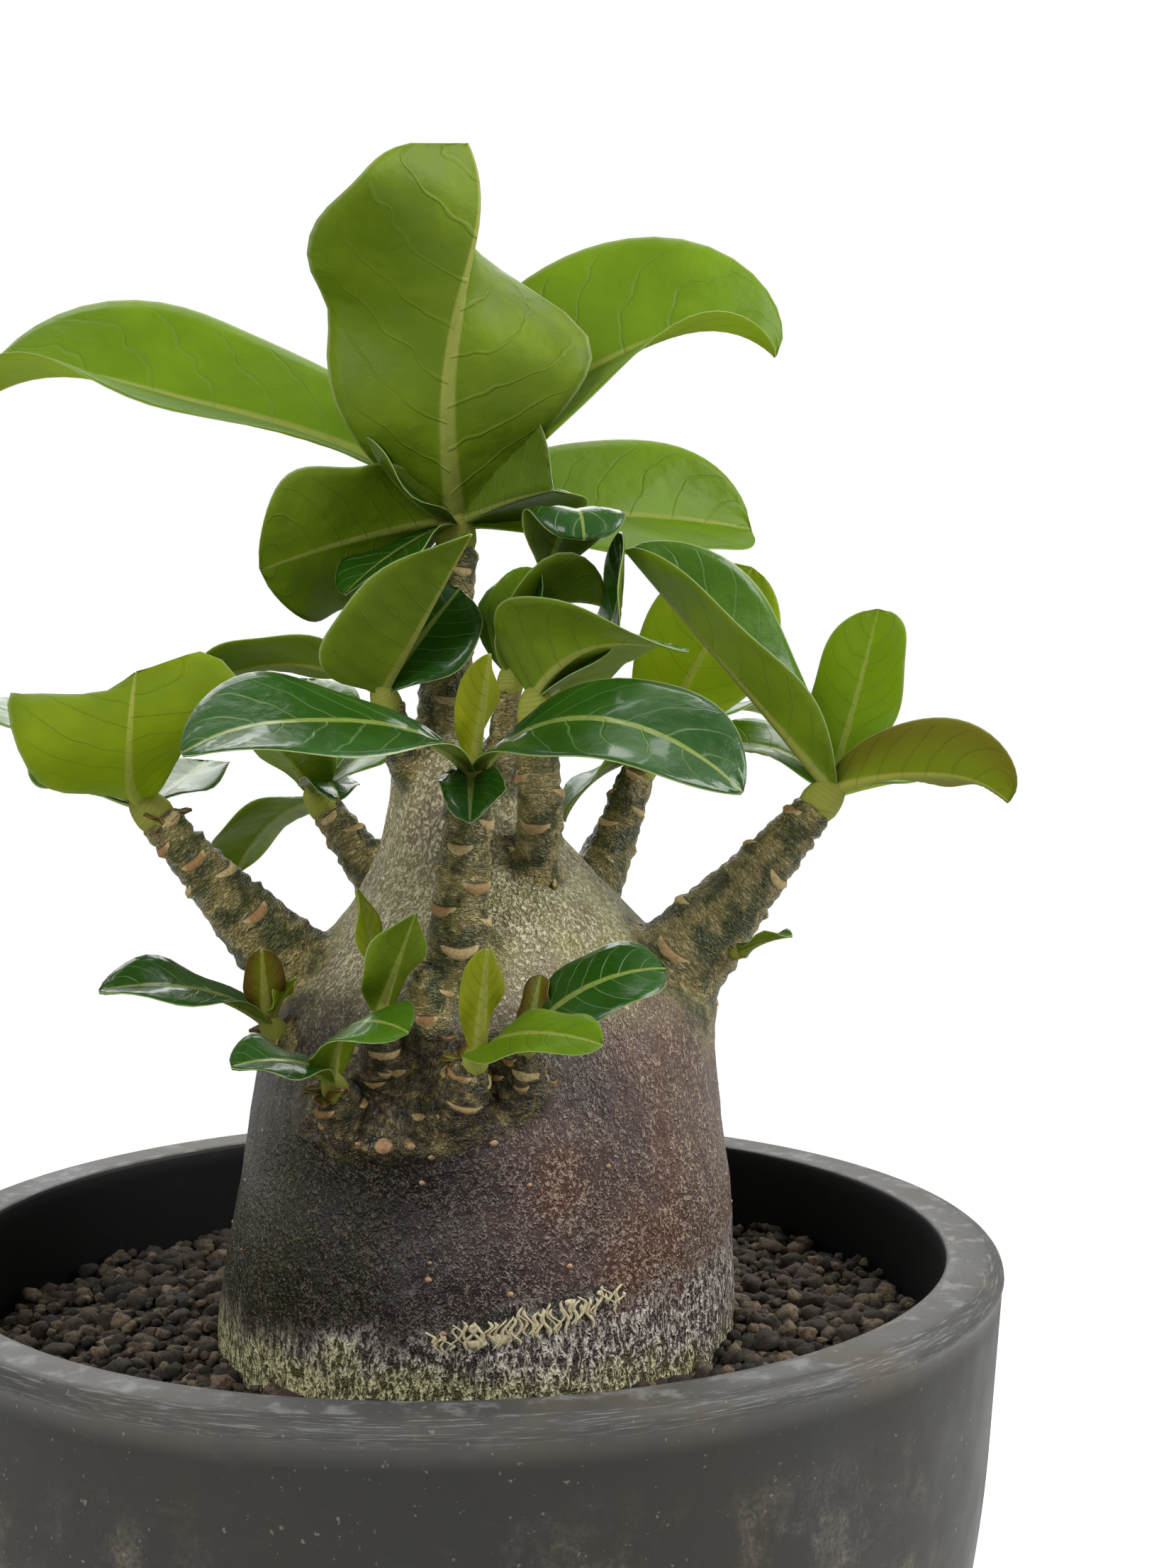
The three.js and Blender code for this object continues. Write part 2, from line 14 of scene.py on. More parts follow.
import bmesh
import bpy
import numpy as np
from mathutils import Matrix, Vector, noise
from mathutils.bvhtree import BVHTree


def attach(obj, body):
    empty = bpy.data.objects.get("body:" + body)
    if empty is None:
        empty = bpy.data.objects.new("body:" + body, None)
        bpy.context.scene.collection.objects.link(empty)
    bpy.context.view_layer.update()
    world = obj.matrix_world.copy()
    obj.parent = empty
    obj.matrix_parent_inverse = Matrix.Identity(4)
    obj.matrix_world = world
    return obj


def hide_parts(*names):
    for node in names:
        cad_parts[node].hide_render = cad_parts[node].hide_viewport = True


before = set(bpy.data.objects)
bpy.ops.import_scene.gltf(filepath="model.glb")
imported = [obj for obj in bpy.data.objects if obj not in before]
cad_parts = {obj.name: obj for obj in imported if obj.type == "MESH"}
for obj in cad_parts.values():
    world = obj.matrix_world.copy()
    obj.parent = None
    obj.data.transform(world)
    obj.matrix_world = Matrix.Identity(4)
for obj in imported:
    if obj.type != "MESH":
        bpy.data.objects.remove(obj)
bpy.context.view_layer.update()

LOG = logging.getLogger("desert_rose")
MM = 0.001
SEED = 17

Colour = str
Stops = tuple[tuple[float, Colour], ...]
Course = float | tuple[float, ...]
Place = TypeVar("Place", float, Vector)
Numbers = np.ndarray
BMesh = bmesh.types.BMesh
BMVert = bmesh.types.BMVert
Piece = bpy.types.Object
Material = bpy.types.Material
Socket = bpy.types.NodeSocket
Sockets = bpy.types.bpy_prop_collection


def ease(low: float, high: float, value: float) -> float:
    """Step smoothly from 0 at low to 1 at high, which may lie below low, for a number or an array."""
    part = np.clip((value - low) / (high - low), 0.0, 1.0)
    return part * part * (3.0 - 2.0 * part)


def hermite(start: Place, end: Place, leave: Place, arrive: Place, part: float) -> Place:
    """Give a number or point part way on the curve from start to end, with its slopes at both ends."""
    bend = 2 * (start - end) + leave + arrive
    return start + leave * part + (3 * (end - start) - 2 * leave - arrive) * part ** 2 + bend * part ** 3


def follow(course: Course, along: float) -> float:
    """Give a course's value on a smooth curve through its evenly spaced stations.

    Args:
        course: the values at the stations, or one number for all.
        along: the place, from 0 at the first station to 1 at the last.

    Returns:
        The value there.
    """
    if not isinstance(course, tuple):
        return course
    spans = len(course) - 1
    reach = along * spans
    first = min(int(reach), spans - 1)
    start, end = course[first], course[first + 1]
    leave = (end - course[first - 1]) / 2 if first > 0 else end - start
    arrive = (course[first + 2] - start) / 2 if first + 2 <= spans else end - start
    return hermite(start, end, leave, arrive, reach - first)


def compass(azimuth: float) -> Vector:
    """Give the level direction to an azimuth."""
    return Vector((math.cos(math.radians(azimuth)), math.sin(math.radians(azimuth)), 0))


def swing(first: Vector, second: Vector, angle: float) -> Vector:
    """Turn the first direction by an angle in radians towards the second, which is square to it."""
    return first * math.cos(angle) + second * math.sin(angle)


def linear(code: Colour) -> tuple[float, float, float, float]:
    """Turn a screen colour into the shader's numbers.

    Args:
        code: a colour such as "#3a5f22".

    Returns:
        Red, green, blue and alpha in linear light.
    """
    parts = [int(code[i:i + 2], 16) / 255 for i in (1, 3, 5)]
    light = [p / 12.92 if p <= 0.04045 else ((p + 0.055) / 1.055) ** 2.4 for p in parts]
    return (light[0], light[1], light[2], 1.0)


def add_sheet(
    bm: BMesh, columns: int, rows: int, place: Callable[[float, float], Vector], material: int = 0,
) -> list[BMVert]:
    """Add a grid to a mesh and bend it into shape.

    Args:
        bm: the mesh that is being made.
        columns: faces across.
        rows: faces along.
        place: gives a point for each place across and along, both from 0 to 1.
        material: the material index of its faces.

    Returns:
        The new vertices.
    """
    chart = bm.loops.layers.uv.verify()
    made = bmesh.ops.create_grid(bm, x_segments=columns, y_segments=rows, size=1.0)["verts"]
    spots = {vert: ((vert.co.x + 1) / 2, (vert.co.y + 1) / 2) for vert in made}
    for vert, (across, along) in spots.items():
        vert.co = place(across, along)
    for face in {face for vert in made for face in vert.link_faces}:
        face.material_index = material
        for loop in face.loops:
            loop[chart].uv = spots[loop.vert]
    return made


def finish_mesh(bm: BMesh, name: str, materials: Sequence[Material]) -> Piece:
    """Turn a millimetre mesh into a smooth-shaded object in metres, at the origin.

    Args:
        bm: the mesh, which is freed.
        name: the object's name.
        materials: the materials that its faces index.

    Returns:
        The new object.
    """
    bmesh.ops.scale(bm, vec=(MM, MM, MM), verts=bm.verts)
    for face in bm.faces:
        face.smooth = True
    mesh = bpy.data.meshes.new(name)
    bm.to_mesh(mesh)
    bm.free()
    for material in materials:
        mesh.materials.append(material)
    piece = bpy.data.objects.new(name, mesh)
    bpy.context.scene.collection.objects.link(piece)
    return piece


def settle(piece: Piece, slot: str, *nodes: str) -> None:
    """Fix a finished piece to the plant's one body.

    Args:
        piece: the finished object.
        slot: a material slot's name, which is not used.
        *nodes: the CAD nodes that it stands for.
    """
    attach(piece, "root")
    if nodes:
        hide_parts(*nodes)
    LOG.info("%s: %d faces", piece.name, len(piece.data.polygons))


def merge(target: BMesh, part: BMesh) -> None:
    """Move a small mesh into a big one, which is quicker than growing the big one bit by bit.

    Args:
        target: the big mesh.
        part: the small mesh, which is freed.
    """
    mesh = bpy.data.meshes.new("part")
    part.to_mesh(mesh)
    part.free()
    target.from_mesh(mesh)
    bpy.data.meshes.remove(mesh)


def apply_modifiers(piece: Piece) -> None:
    """Replace a piece's mesh by what its modifiers make of it.

    Args:
        piece: the object, which keeps its name and loses its modifiers.
    """
    graph = bpy.context.evaluated_depsgraph_get()
    mesh = bpy.data.meshes.new_from_object(piece.evaluated_get(graph))
    piece.modifiers.clear()
    old = piece.data
    piece.data = mesh
    bpy.data.meshes.remove(old)


class Shader:
    """A material's node tree, with short calls for the nodes that the finishes share."""

    def __init__(self, name: str) -> None:
        """Start an empty material.

        Args:
            name: the material's name.
        """
        self.material = bpy.data.materials.new(name)
        self.material.use_nodes = True
        self.tree = self.material.node_tree
        self.tree.nodes.clear()

    def node(self, kind: str, inputs: dict | None = None, **settings: object) -> bpy.types.Node:
        """Add a node.

        Args:
            kind: the node's type, less its ShaderNode prefix.
            inputs: socket names or numbers, with the value or the socket that feeds each.
            **settings: the node's own options.

        Returns:
            The node.
        """
        node = self.tree.nodes.new("ShaderNode" + kind)
        for key, value in settings.items():
            setattr(node, key, value)
        for key, value in (inputs or {}).items():
            self.feed(node.inputs[key], value)
        return node

    def feed(self, socket: Socket, value: object) -> None:
        """Link a socket to another one, or set its value.

        Args:
            socket: the input socket.
            value: the output socket that feeds it, a colour's code or a plain value.
        """
        if isinstance(value, Socket):
            self.tree.links.new(value, socket)
        else:
            socket.default_value = linear(value) if isinstance(value, str) else value

    def place(self, stretch: Sequence[float] = (1, 1, 1), shift: Sequence[float] = (0, 0, 0)) -> Socket:
        """Give the object's own coordinates in millimetres.

        Args:
            stretch: what each axis is multiplied by, below 1 for a pattern drawn out along it.
            shift: what is added afterwards, so that two patterns differ.

        Returns:
            The vector's socket.
        """
        coords = self.node("TexCoord").outputs["Object"]
        scale = [part / MM for part in stretch]
        return self.node("Mapping", {"Vector": coords, "Scale": scale, "Location": shift}).outputs[0]

    def split(self, vector: Socket) -> Sockets:
        """Give a vector's X, Y and Z."""
        return self.node("SeparateXYZ", {0: vector}).outputs

    def chart(self) -> Sockets:
        """Give the place on the piece's own map, X across and Y along, from 0 to 1."""
        return self.split(self.node("UVMap").outputs[0])

    def attribute(self, name: str) -> Socket:
        """Read one of the mesh's number attributes."""
        return self.node("Attribute", attribute_name=name).outputs["Fac"]

    def math(self, operation: str, *values: object) -> Socket:
        """Work out one step of arithmetic on sockets and numbers."""
        return self.node("Math", dict(enumerate(values)), operation=operation).outputs[0]

    def times(self, first: object, second: object) -> Socket:
        """Multiply two numbers."""
        return self.math("MULTIPLY", first, second)

    def times_plus(self, first: object, second: object, plus: object) -> Socket:
        """Multiply two numbers and add a third."""
        return self.math("MULTIPLY_ADD", first, second, plus)

    def from_middle(self, value: object) -> Socket:
        """Turn a share from 0 to 1 into one from -1 to 1."""
        return self.times_plus(value, 2.0, -1.0)

    def step(self, value: object, low: float, high: float, bottom: float = 0, top: float = 1) -> Socket:
        """Step smoothly from bottom to top as value goes from low to high."""
        inputs = {"Value": value, "From Min": low, "From Max": high, "To Min": bottom, "To Max": top}
        return self.node("MapRange", inputs, interpolation_type="SMOOTHSTEP").outputs[0]

    def noise(
        self, vector: object, scale: float, detail: float = 2, rough: float = 0.5, twist: float = 0,
    ) -> Socket:
        """Give cloudy noise whose patches are 1 / scale of the vector's unit."""
        inputs = {"Vector": vector, "Scale": scale, "Detail": detail, "Roughness": rough, "Distortion": twist}
        return self.node("TexNoise", inputs).outputs[0]

    def threads(self, vector: object, scale: float, width: object, twist: float = 0) -> Socket:
        """Draw soft wavy lines that wander and branch.

        Args:
            vector: the coordinates.
            scale: how dense the lines are.
            width: their half width, in parts of the noise's height.
            twist: how far they are bent.

        Returns:
            A socket that is 1 on a line and 0 off it.
        """
        cloud = self.noise(vector, scale, 1, 0.5, twist)
        off = self.math("ABSOLUTE", self.math("SUBTRACT", cloud, 0.5))
        return self.step(off, width, 0.0)

    def ramp(self, value: object, *stops: tuple[float, Colour]) -> Socket:
        """Turn a number into a colour.

        Args:
            value: the number.
            *stops: places from 0 to 1, each with its colour.

        Returns:
            The colour's socket.
        """
        node = self.node("ValToRGB", {"Fac": value})
        band = node.color_ramp.elements
        while len(band) < len(stops):
            band.new(0.5)
        for element, (position, colour) in zip(band, stops):
            element.position = position
            element.color = linear(colour)
        return node.outputs[0]

    def mix(self, share: object, first: object, second: object, blend: str = "MIX") -> Socket:
        """Mix two colours by a share from 0 to 1."""
        inputs = {0: share, 6: first, 7: second}
        return self.node("Mix", inputs, data_type="RGBA", blend_type=blend).outputs[2]

    def bump(self, height: object, depth: float, strength: float = 1.0) -> Socket:
        """Give a normal that is tilted by a height of 0 to 1 over a depth in millimetres."""
        return self.node("Bump", {"Height": height, "Distance": depth * MM, "Strength": strength}).outputs[0]

    def surface(self, **inputs: object) -> Socket:
        """Add the main shader, with sockets named by words joined with underscores."""
        named = {key.replace("_", " "): value for key, value in inputs.items()}
        return self.node("BsdfPrincipled", named).outputs[0]

    def finish(self, surface: Socket) -> Material:
        """Link the surface to the output and give the material."""
        self.node("OutputMaterial", {"Surface": surface})
        return self.material


class Route:
    """A smooth curve through a few points, with straight run-outs at its ends."""

    def __init__(self, corners: Sequence[Sequence[float]]) -> None:
        """Add a run-out at each end.

        Args:
            corners: the points that the curve goes through, in millimetres.
        """
        points = [Vector(corner) for corner in corners]
        self.points = [2 * points[0] - points[1], *points, 2 * points[-1] - points[-2]]
        self.spans = len(points) - 1

    def point(self, along: float) -> Vector:
        """Give a point of the curve, whose corners are rounded by the square roots of their distances.

        Args:
            along: the share of the curve, from 0 to 1.

        Returns:
            The point.
        """
        reach = min(max(along, 0.0), 1.0) * self.spans
        first = min(int(reach), self.spans - 1)
        before, start, end, after = self.points[first:first + 4]
        gaps = [math.sqrt((b - a).length) for a, b in ((before, start), (start, end), (end, after))]
        leave = (start - before) / gaps[0] - (end - before) / (gaps[0] + gaps[1]) + (end - start) / gaps[1]
        arrive = (end - start) / gaps[1] - (after - start) / (gaps[1] + gaps[2]) + (after - end) / gaps[2]
        return hermite(start, end, leave * gaps[1], arrive * gaps[1], reach - first)

    def direction(self, along: float) -> Vector:
        """Give the unit direction at a share of the curve."""
        nudge = 1e-3
        return (self.point(along + nudge) - self.point(along - nudge)).normalized()


class Tone(Enum):
    """How old and how flushed a leaf is, both from 0 to 1."""

    DEEP = (1.0, 0.0)
    MATURE = (0.75, 0.0)
    BRIGHT = (0.45, 0.0)
    YOUNG = (0.12, 0.0)
    FLUSHED = (0.5, 0.55)
    BRONZE = (0.3, 0.9)
    DRY = (0.2, 1.0)


class LeafFace(Enum):
    """The material index of each side of a leaf."""

    UPPER = 0
    UNDER = 1
    MARGIN = 2


LEAF_LAYERS = ("age", "blush", "span")


@dataclass(frozen=True)
class Leaf:
    """A leaf: an arched midrib with a thin blade. Angles are degrees.

    azimuth, rise, sway, left and right are courses: one number, or the values at evenly spaced places from
    the root to the tip. rise is the midrib's climb, and sway leans it to its right. left and right lift the
    two halves of the blade, as seen from the root, and curl lifts them further out to their margins. wave
    is how high the margins ripple, and waves is how often. belly is where the blade is widest, and point is
    0.4 for a blunt tip and 1 for a sharp one. stalk is half its width at the root, and up is how high on the
    bud it is rooted.
    """

    azimuth: Course = 0
    rise: Course = (30, 10)
    left: Course = 10
    right: Course = 10
    length: float = 50
    width: float = 24
    sway: Course = 0
    curl: float = 0
    wave: float = 1.5
    waves: float = 1.5
    belly: float = 0.62
    point: float = 0.6
    stalk: float = 1.7
    up: float = 0.5
    tone: Tone = Tone.MATURE

    BLADE = 0.7
    EDGE_ROUND = 8
    EDGE_LEAST = 0.04
    MIDDLE_LENGTH = 70
    RIB_HEIGHT = 1.3
    RIB_WIDTH = 1.5
    RIB_TIP_WIDTH = 0.35
    GROOVE = 0.25
    PUCKER = 0.22
    PUCKER_WIDTH = 24
    VEIN_PAIRS = 8
    VEIN_SLANT = 0.1
    VEIN_BEND = 0.12
    RIB_BLEND = 0.15
    TIP_WIDTH = 0.3
    SPINE_STEPS = 48
    GRIDS = ((40, (18, 30)), (22, (12, 18)), (0, (8, 12)))

    def frame(self, along: float) -> tuple[Vector, Vector, Vector]:
        """Give the directions of the blade at a place.

        Args:
            along: the share of its length.

        Returns:
            The forward, sideways and upward directions.
        """
        azimuth, rise, sway = (math.radians(follow(c, along)) for c in (self.azimuth, self.rise, self.sway))
        east, north = math.cos(azimuth), math.sin(azimuth)
        ahead = Vector((math.cos(rise) * east, math.cos(rise) * north, math.sin(rise)))
        upper = Vector((-math.sin(rise) * east, -math.sin(rise) * north, math.cos(rise)))
        level = ahead.cross(upper)
        return swing(ahead, level, sway), level * math.cos(sway) - ahead * math.sin(sway), upper

    @property
    def bulk(self) -> float:
        """How broad the midrib is, beside that of a leaf of middle length."""
        return min(max(self.length / self.MIDDLE_LENGTH, 0.7), 1.3)

    @property
    def grid(self) -> tuple[int, int]:
        """Faces across and along, fewer on a short leaf."""
        return next(size for shortest, size in self.GRIDS if self.length > shortest)

    @cached_property
    def spine(self) -> list[Vector]:
        """Points along the midrib.

        Returns:
            The points, from the leaf's root at zero.
        """
        points = [Vector()]
        for i in range(self.SPINE_STEPS):
            forward = self.frame((i + 0.5) / self.SPINE_STEPS)[0]
            points.append(points[-1] + forward * (self.length / self.SPINE_STEPS))
        return points

    def spine_point(self, along: float) -> Vector:
        """Give a point of the midrib.

        Args:
            along: the share of its length.

        Returns:
            The point, from the leaf's root at zero.
        """
        reach = along * self.SPINE_STEPS
        first = min(int(reach), self.SPINE_STEPS - 1)
        return self.spine[first].lerp(self.spine[first + 1], reach - first)

    def half_width(self, along: float) -> float:
        """Give the blade's half width at a place.

        Args:
            along: the share of its length.

        Returns:
            The half width, which peaks at the belly.
        """
        rootward = self.belly * self.point / (1 - self.belly)
        peak = self.belly ** rootward * (1 - self.belly) ** self.point
        blade = along ** rootward * (1 - along) ** self.point / peak
        return 0.5 * self.width * blade + self.stalk * (1 - along) + self.TIP_WIDTH

    def surface(self, across: float, along: float, face: LeafFace) -> Vector:
        """Give a point of the upper or the under side.

        Args:
            across: from -1 at the left margin to 1 at the right one.
            along: from 0 at the root to 1 at the tip.
            face: the side.

        Returns:
            The point, from the leaf's root at zero.
        """
        reach = self.half_width(along)
        out = abs(across)
        left, right = follow(self.left, along), follow(self.right, along)
        curl = math.radians(self.curl) or 1e-6
        inner = math.radians(right if across > 0 else left)
        slope = inner + curl * out
        side = math.copysign(1, across) * reach * (math.sin(slope) - math.sin(inner)) / curl
        lift = reach * (math.cos(inner) - math.cos(slope)) / curl
        share = ease(-self.RIB_BLEND, self.RIB_BLEND, across)
        turned = math.radians((right + self.curl * out) * share - (left + self.curl * out) * (1 - share))
        _, sideways, upward = self.frame(along)
        middle = self.spine_point(along) + sideways * side + upward * lift
        outward = upward * math.cos(turned) - sideways * math.sin(turned)
        ripple = math.sin(2 * math.pi * self.waves * along + across)
        wave = self.wave * ripple * out ** 2 * math.sqrt(math.sin(math.pi * min(along, 1.0)) + 1e-9)
        return middle + outward * (wave + self.thickness(out * reach, out, along, face))

    def thickness(self, span: float, out: float, along: float, face: LeafFace) -> float:
        """Give how far a side stands off the blade's middle, with its midrib and puckers.

        Args:
            span: the way from the midrib in millimetres.
            out: the same from 0 to 1 at the margin.
            along: from 0 at the root to 1 at the tip.
            face: the side.

        Returns:
            The height above the middle, negative on the under side.
        """
        rib_width = self.bulk * (self.RIB_WIDTH * (1 - along) ** 0.8 + self.RIB_TIP_WIDTH)
        rib = math.exp(-((span / rib_width) ** 2))
        line = along - self.VEIN_SLANT * out - self.VEIN_BEND * out ** 2
        veins = math.cos(2 * math.pi * self.VEIN_PAIRS * line)
        swell = math.sin(math.pi * min(out, 1.0)) * min(1.0, self.width / self.PUCKER_WIDTH)
        pucker = self.PUCKER * veins * swell
        edge = 0.5 * self.BLADE * math.sqrt(max(1 - out ** self.EDGE_ROUND, self.EDGE_LEAST))
        if face is LeafFace.UPPER:
            return edge - self.GROOVE * rib * (1 - along) + pucker
        return -edge - self.RIB_HEIGHT * rib * (1 - along) ** 1.1 + pucker

    def add_to(self, bm: BMesh, root: Vector) -> None:
        """Add the leaf to a mesh, as a closed blade.

        Args:
            bm: the mesh.
            root: where it grows from.
        """
        made = self.add_side(bm, root, LeafFace.UPPER) + self.add_side(bm, root, LeafFace.UNDER)
        rims = [edge for edge in {e for vert in made for e in vert.link_edges} if edge.is_boundary]
        rims.sort(key=lambda edge: tuple(edge.verts[0].co) + tuple(edge.verts[1].co))
        for face in bmesh.ops.bridge_loops(bm, edges=rims)["faces"]:
            face.material_index = LeafFace.MARGIN.value

    def add_side(self, bm: BMesh, root: Vector, face: LeafFace) -> list[BMVert]:
        """Add one side of the blade, with the map and the attributes that its colours follow.

        Args:
            bm: the mesh.
            root: where the leaf grows from.
            face: the side.

        Returns:
            The side's vertices.
        """

        def place(column: float, row: float) -> Vector:
            """Give the point at a place of the grid."""
            return root + self.surface(*self.grid_place(column, row), face)

        layers = bm.verts.layers.float
        age, blush, span = (layers.get(key) or layers.new(key) for key in LEAF_LAYERS)
        chart = bm.loops.layers.uv.verify()
        made = add_sheet(bm, *self.grid, place, face.value)
        for vert in made:
            across, along = self.grid_place(*vert.link_loops[0][chart].uv)
            vert[age], vert[blush] = self.tone.value
            vert[span] = abs(across) * self.half_width(along) / self.bulk
        faces = {f for vert in made for f in vert.link_faces}
        for loop in (loop for f in faces for loop in f.loops):
            across, along = self.grid_place(*loop[chart].uv)
            loop[chart].uv = (0.5 + 0.5 * across, along)
        if face is LeafFace.UNDER:
            bmesh.ops.reverse_faces(bm, faces=list(faces))
        return made

    @staticmethod
    def grid_place(column: float, row: float) -> tuple[float, float]:
        """Turn a place in the grid into one on the blade, with closer lines at the midrib and the ends.

        Args:
            column: the share of the grid across.
            row: the share of the grid along.

        Returns:
            The place across, from -1 to 1, and along, from 0 to 1.
        """
        flat = 2 * column - 1
        across = math.copysign(abs(flat) ** 1.2, flat)
        along = 0.4 * row + 0.6 * (0.5 - 0.5 * math.cos(math.pi * row))
        return across, min(max(along, 0.0), 1.0)


@dataclass(frozen=True)
class Ring:
    """A wide healed scar that runs part of the way round a stem."""

    along: float
    azimuth: float
    width: float
    tall: float


@dataclass(frozen=True)
class Stem:
    """A tapering stem along a few points, with leaf scars in a spiral."""

    path: tuple[tuple[float, float, float], ...]
    root: float
    tip: float
    scar_pitch: float = 2.2
    scar_start: float = 0.3
    phase: float = 0.0
    rings: tuple[Ring, ...] = ()

    FLARE = 1.6
    SPIRAL = 137.5
    CAP = 0.02
    LAST_SCAR = 0.97

    @cached_property
    def route(self) -> Route:
        """The stem's middle line."""
        return Route(self.path)

    @cached_property
    def length(self) -> float:
        """The middle line's length."""
        points = [self.route.point(i / 20) for i in range(21)]
        return sum((b - a).length for a, b in zip(points, points[1:]))

    def radius(self, along: float) -> float:
        """Give the stem's radius at a share of its length."""
        return self.tip + (self.root - self.tip) * np.clip(1 - along, 0, 1) ** self.FLARE

    def basis(self, along: float) -> tuple[Vector, Vector, Vector]:
        """Give the stem's directions at a place.

        Args:
            along: the share of its length.

        Returns:
            Two directions across the stem and the one along it.
        """
        forward = self.route.direction(along)
        turn = Vector((0, 0, 1)).rotation_difference(forward)
        return turn @ Vector((1, 0, 0)), turn @ Vector((0, 1, 0)), forward

    def skin_point(self, around: float, along: float) -> Vector:
        """Give a point of the plain tube, which is closed at both ends.

        Args:
            around: the share of the way round.
            along: the share of the tube's length.

        Returns:
            The point.
        """
        inner = np.clip((along - self.CAP) / (1 - 2 * self.CAP), 0, 1)
        side, up, _ = self.basis(inner)
        shut = 0.0 if along in (0.0, 1.0) else 1.0
        return self.route.point(inner) + swing(side, up, 2 * math.pi * around) * self.radius(inner) * shut

    def scars(self) -> list[tuple[float, float, float]]:
        """Set out the scars of fallen leaves, in a spiral down from the tip.

        Returns:
            Each scar's place along the stem, its angle in degrees and its age from 0 to 1.
        """
        first, last = self.scar_start, self.LAST_SCAR
        count = max(int((last - first) * self.length / self.scar_pitch), 1)
        places = [last - (last - first) * i / count for i in range(count + 1)]
        angles = [(self.phase + self.SPIRAL * i) % 360 for i in range(count + 1)]
        return [(place, angle, (last - place) / (last - first)) for place, angle in zip(places, angles)]

    def spot(self, along: float, angle: float) -> "Spot":
        """Find a place on the stem's skin.

        Args:
            along: the share of its length.
            angle: the angle round it in degrees.

        Returns:
            The place.
        """
        side, up, forward = self.basis(along)
        outward = swing(side, up, math.radians(angle))
        return Spot(self.route.point(along), forward, outward, float(self.radius(along)))

    def facing(self, along: float, azimuth: float) -> float:
        """Give the angle on the stem that faces an azimuth.

        Args:
            along: the share of its length.
            azimuth: where the side looks.

        Returns:
            The angle in degrees.
        """
        side, up, _ = self.basis(along)
        way = compass(azimuth)
        return math.degrees(math.atan2(way.dot(up), way.dot(side)))


@dataclass(frozen=True)
class Spot:
    """A place on the plant's skin, told from the axis inside it."""

    centre: Vector
    axis: Vector
    outward: Vector
    radius: float

    CLEARANCE = 3.0

    def aim(self, across: float, up: float) -> tuple[Vector, Vector]:
        """Give a start outside the skin and the direction inwards, for a point beside the spot."""
        away = swing(self.outward, self.axis.cross(self.outward), across / self.radius)
        return self.centre + self.axis * up + away * (self.radius + self.CLEARANCE), -away


@dataclass(frozen=True)
class Shoot:
    """A stem of the trunk that ends in its own leaves, with the CAD node's name."""

    name: str
    stem: Stem
    leaves: tuple[Leaf, ...]
    bracts: int = 0

    GAP = 0.3
    BUD_FIT = 0.95
    BUD_TALL = 1.9
    BUD_ROUND = 2.4
    BUD_START = 0.06
    BUD_FLUTE = 0.06
    BUD_AGE = 0.35
    BUD_SINK = 1.8
    FOOT_SHARE = 0.1
    FOOT_FIT = 0.86
    LEAF_START = 0.6
    BRACT_PLACE = 0.98
    BRACT_SINK = 0.8

    @property
    def bud_radius(self) -> float:
        """The radius of the green growing tip."""
        return self.stem.tip * self.BUD_FIT

    def root_of(self, up: float) -> Vector:
        """Give the point on the stem's axis that a leaf grows from."""
        end = self.stem.route.point(1.0)
        return end + self.stem.route.direction(1.0) * (self.GAP + self.bud_radius * (self.LEAF_START + up))

    def bud_point(self, around: float, along: float) -> Vector:
        """Give a point of the growing tip, a short dome with its foot sunk in the stem's end.

        Args:
            around: the share of the way round.
            along: the share of the way from the foot's middle to the top.

        Returns:
            The point.
        """
        side, up, forward = self.stem.basis(1.0)
        angle = 2 * math.pi * around
        flutes = 1.0 + self.BUD_FLUTE * math.cos(5 * angle)
        radius = self.bud_radius * math.sqrt(max(1 - along ** self.BUD_ROUND, 0)) * flutes
        rise = self.GAP + self.bud_radius * self.BUD_TALL * max(along - self.BUD_START, 0.0)
        if along < self.FOOT_SHARE:
            radius *= 0.0 if along == 0.0 else self.FOOT_FIT
            rise = -self.BUD_SINK
        base = self.stem.route.point(1.0) + forward * rise
        return base + swing(side, up, angle) * radius

    def shape(self) -> BMesh:
        """Make the growing tip with all its leaves.

        Returns:
            The mesh, in millimetres.
        """
        bm = bmesh.new()
        layers = {key: bm.verts.layers.float.new(key) for key in LEAF_LAYERS}
        for vert in add_sheet(bm, 20, 12, self.bud_point, LeafFace.UNDER.value):
            vert[layers["age"]] = self.BUD_AGE
        for leaf in self.leaves:
            leaf.add_to(bm, self.root_of(leaf.up))
        rng = random.Random(SEED + len(self.name))
        for i in range(self.bracts):
            foot = self.stem.spot(self.BRACT_PLACE, 360 * i / self.bracts)
            self.bract(rng).add_to(bm, foot.centre + foot.outward * foot.radius * self.BRACT_SINK)
        bmesh.ops.remove_doubles(bm, verts=bm.verts, dist=0.005)
        return bm

    @staticmethod
    def bract(rng: random.Random) -> Leaf:
        """Draw one of the small dry scales round the stem's end.

        Args:
            rng: the shoot's random numbers.

        Returns:
            The scale.
        """
        return Leaf(
            azimuth=rng.uniform(0, 360), rise=(rng.uniform(-5, 50), rng.uniform(-30, 30)),
            length=rng.uniform(4, 7), width=rng.uniform(2.5, 4), point=0.9, stalk=1.2, wave=0.4,
            tone=Tone.DRY,
        )

    def build(self, materials: Sequence[Material]) -> None:
        """Finish the growing tip and its leaves, in the upper, under and margin materials."""
        settle(finish_mesh(self.shape(), self.name + "_green", materials), "leaf", self.name)


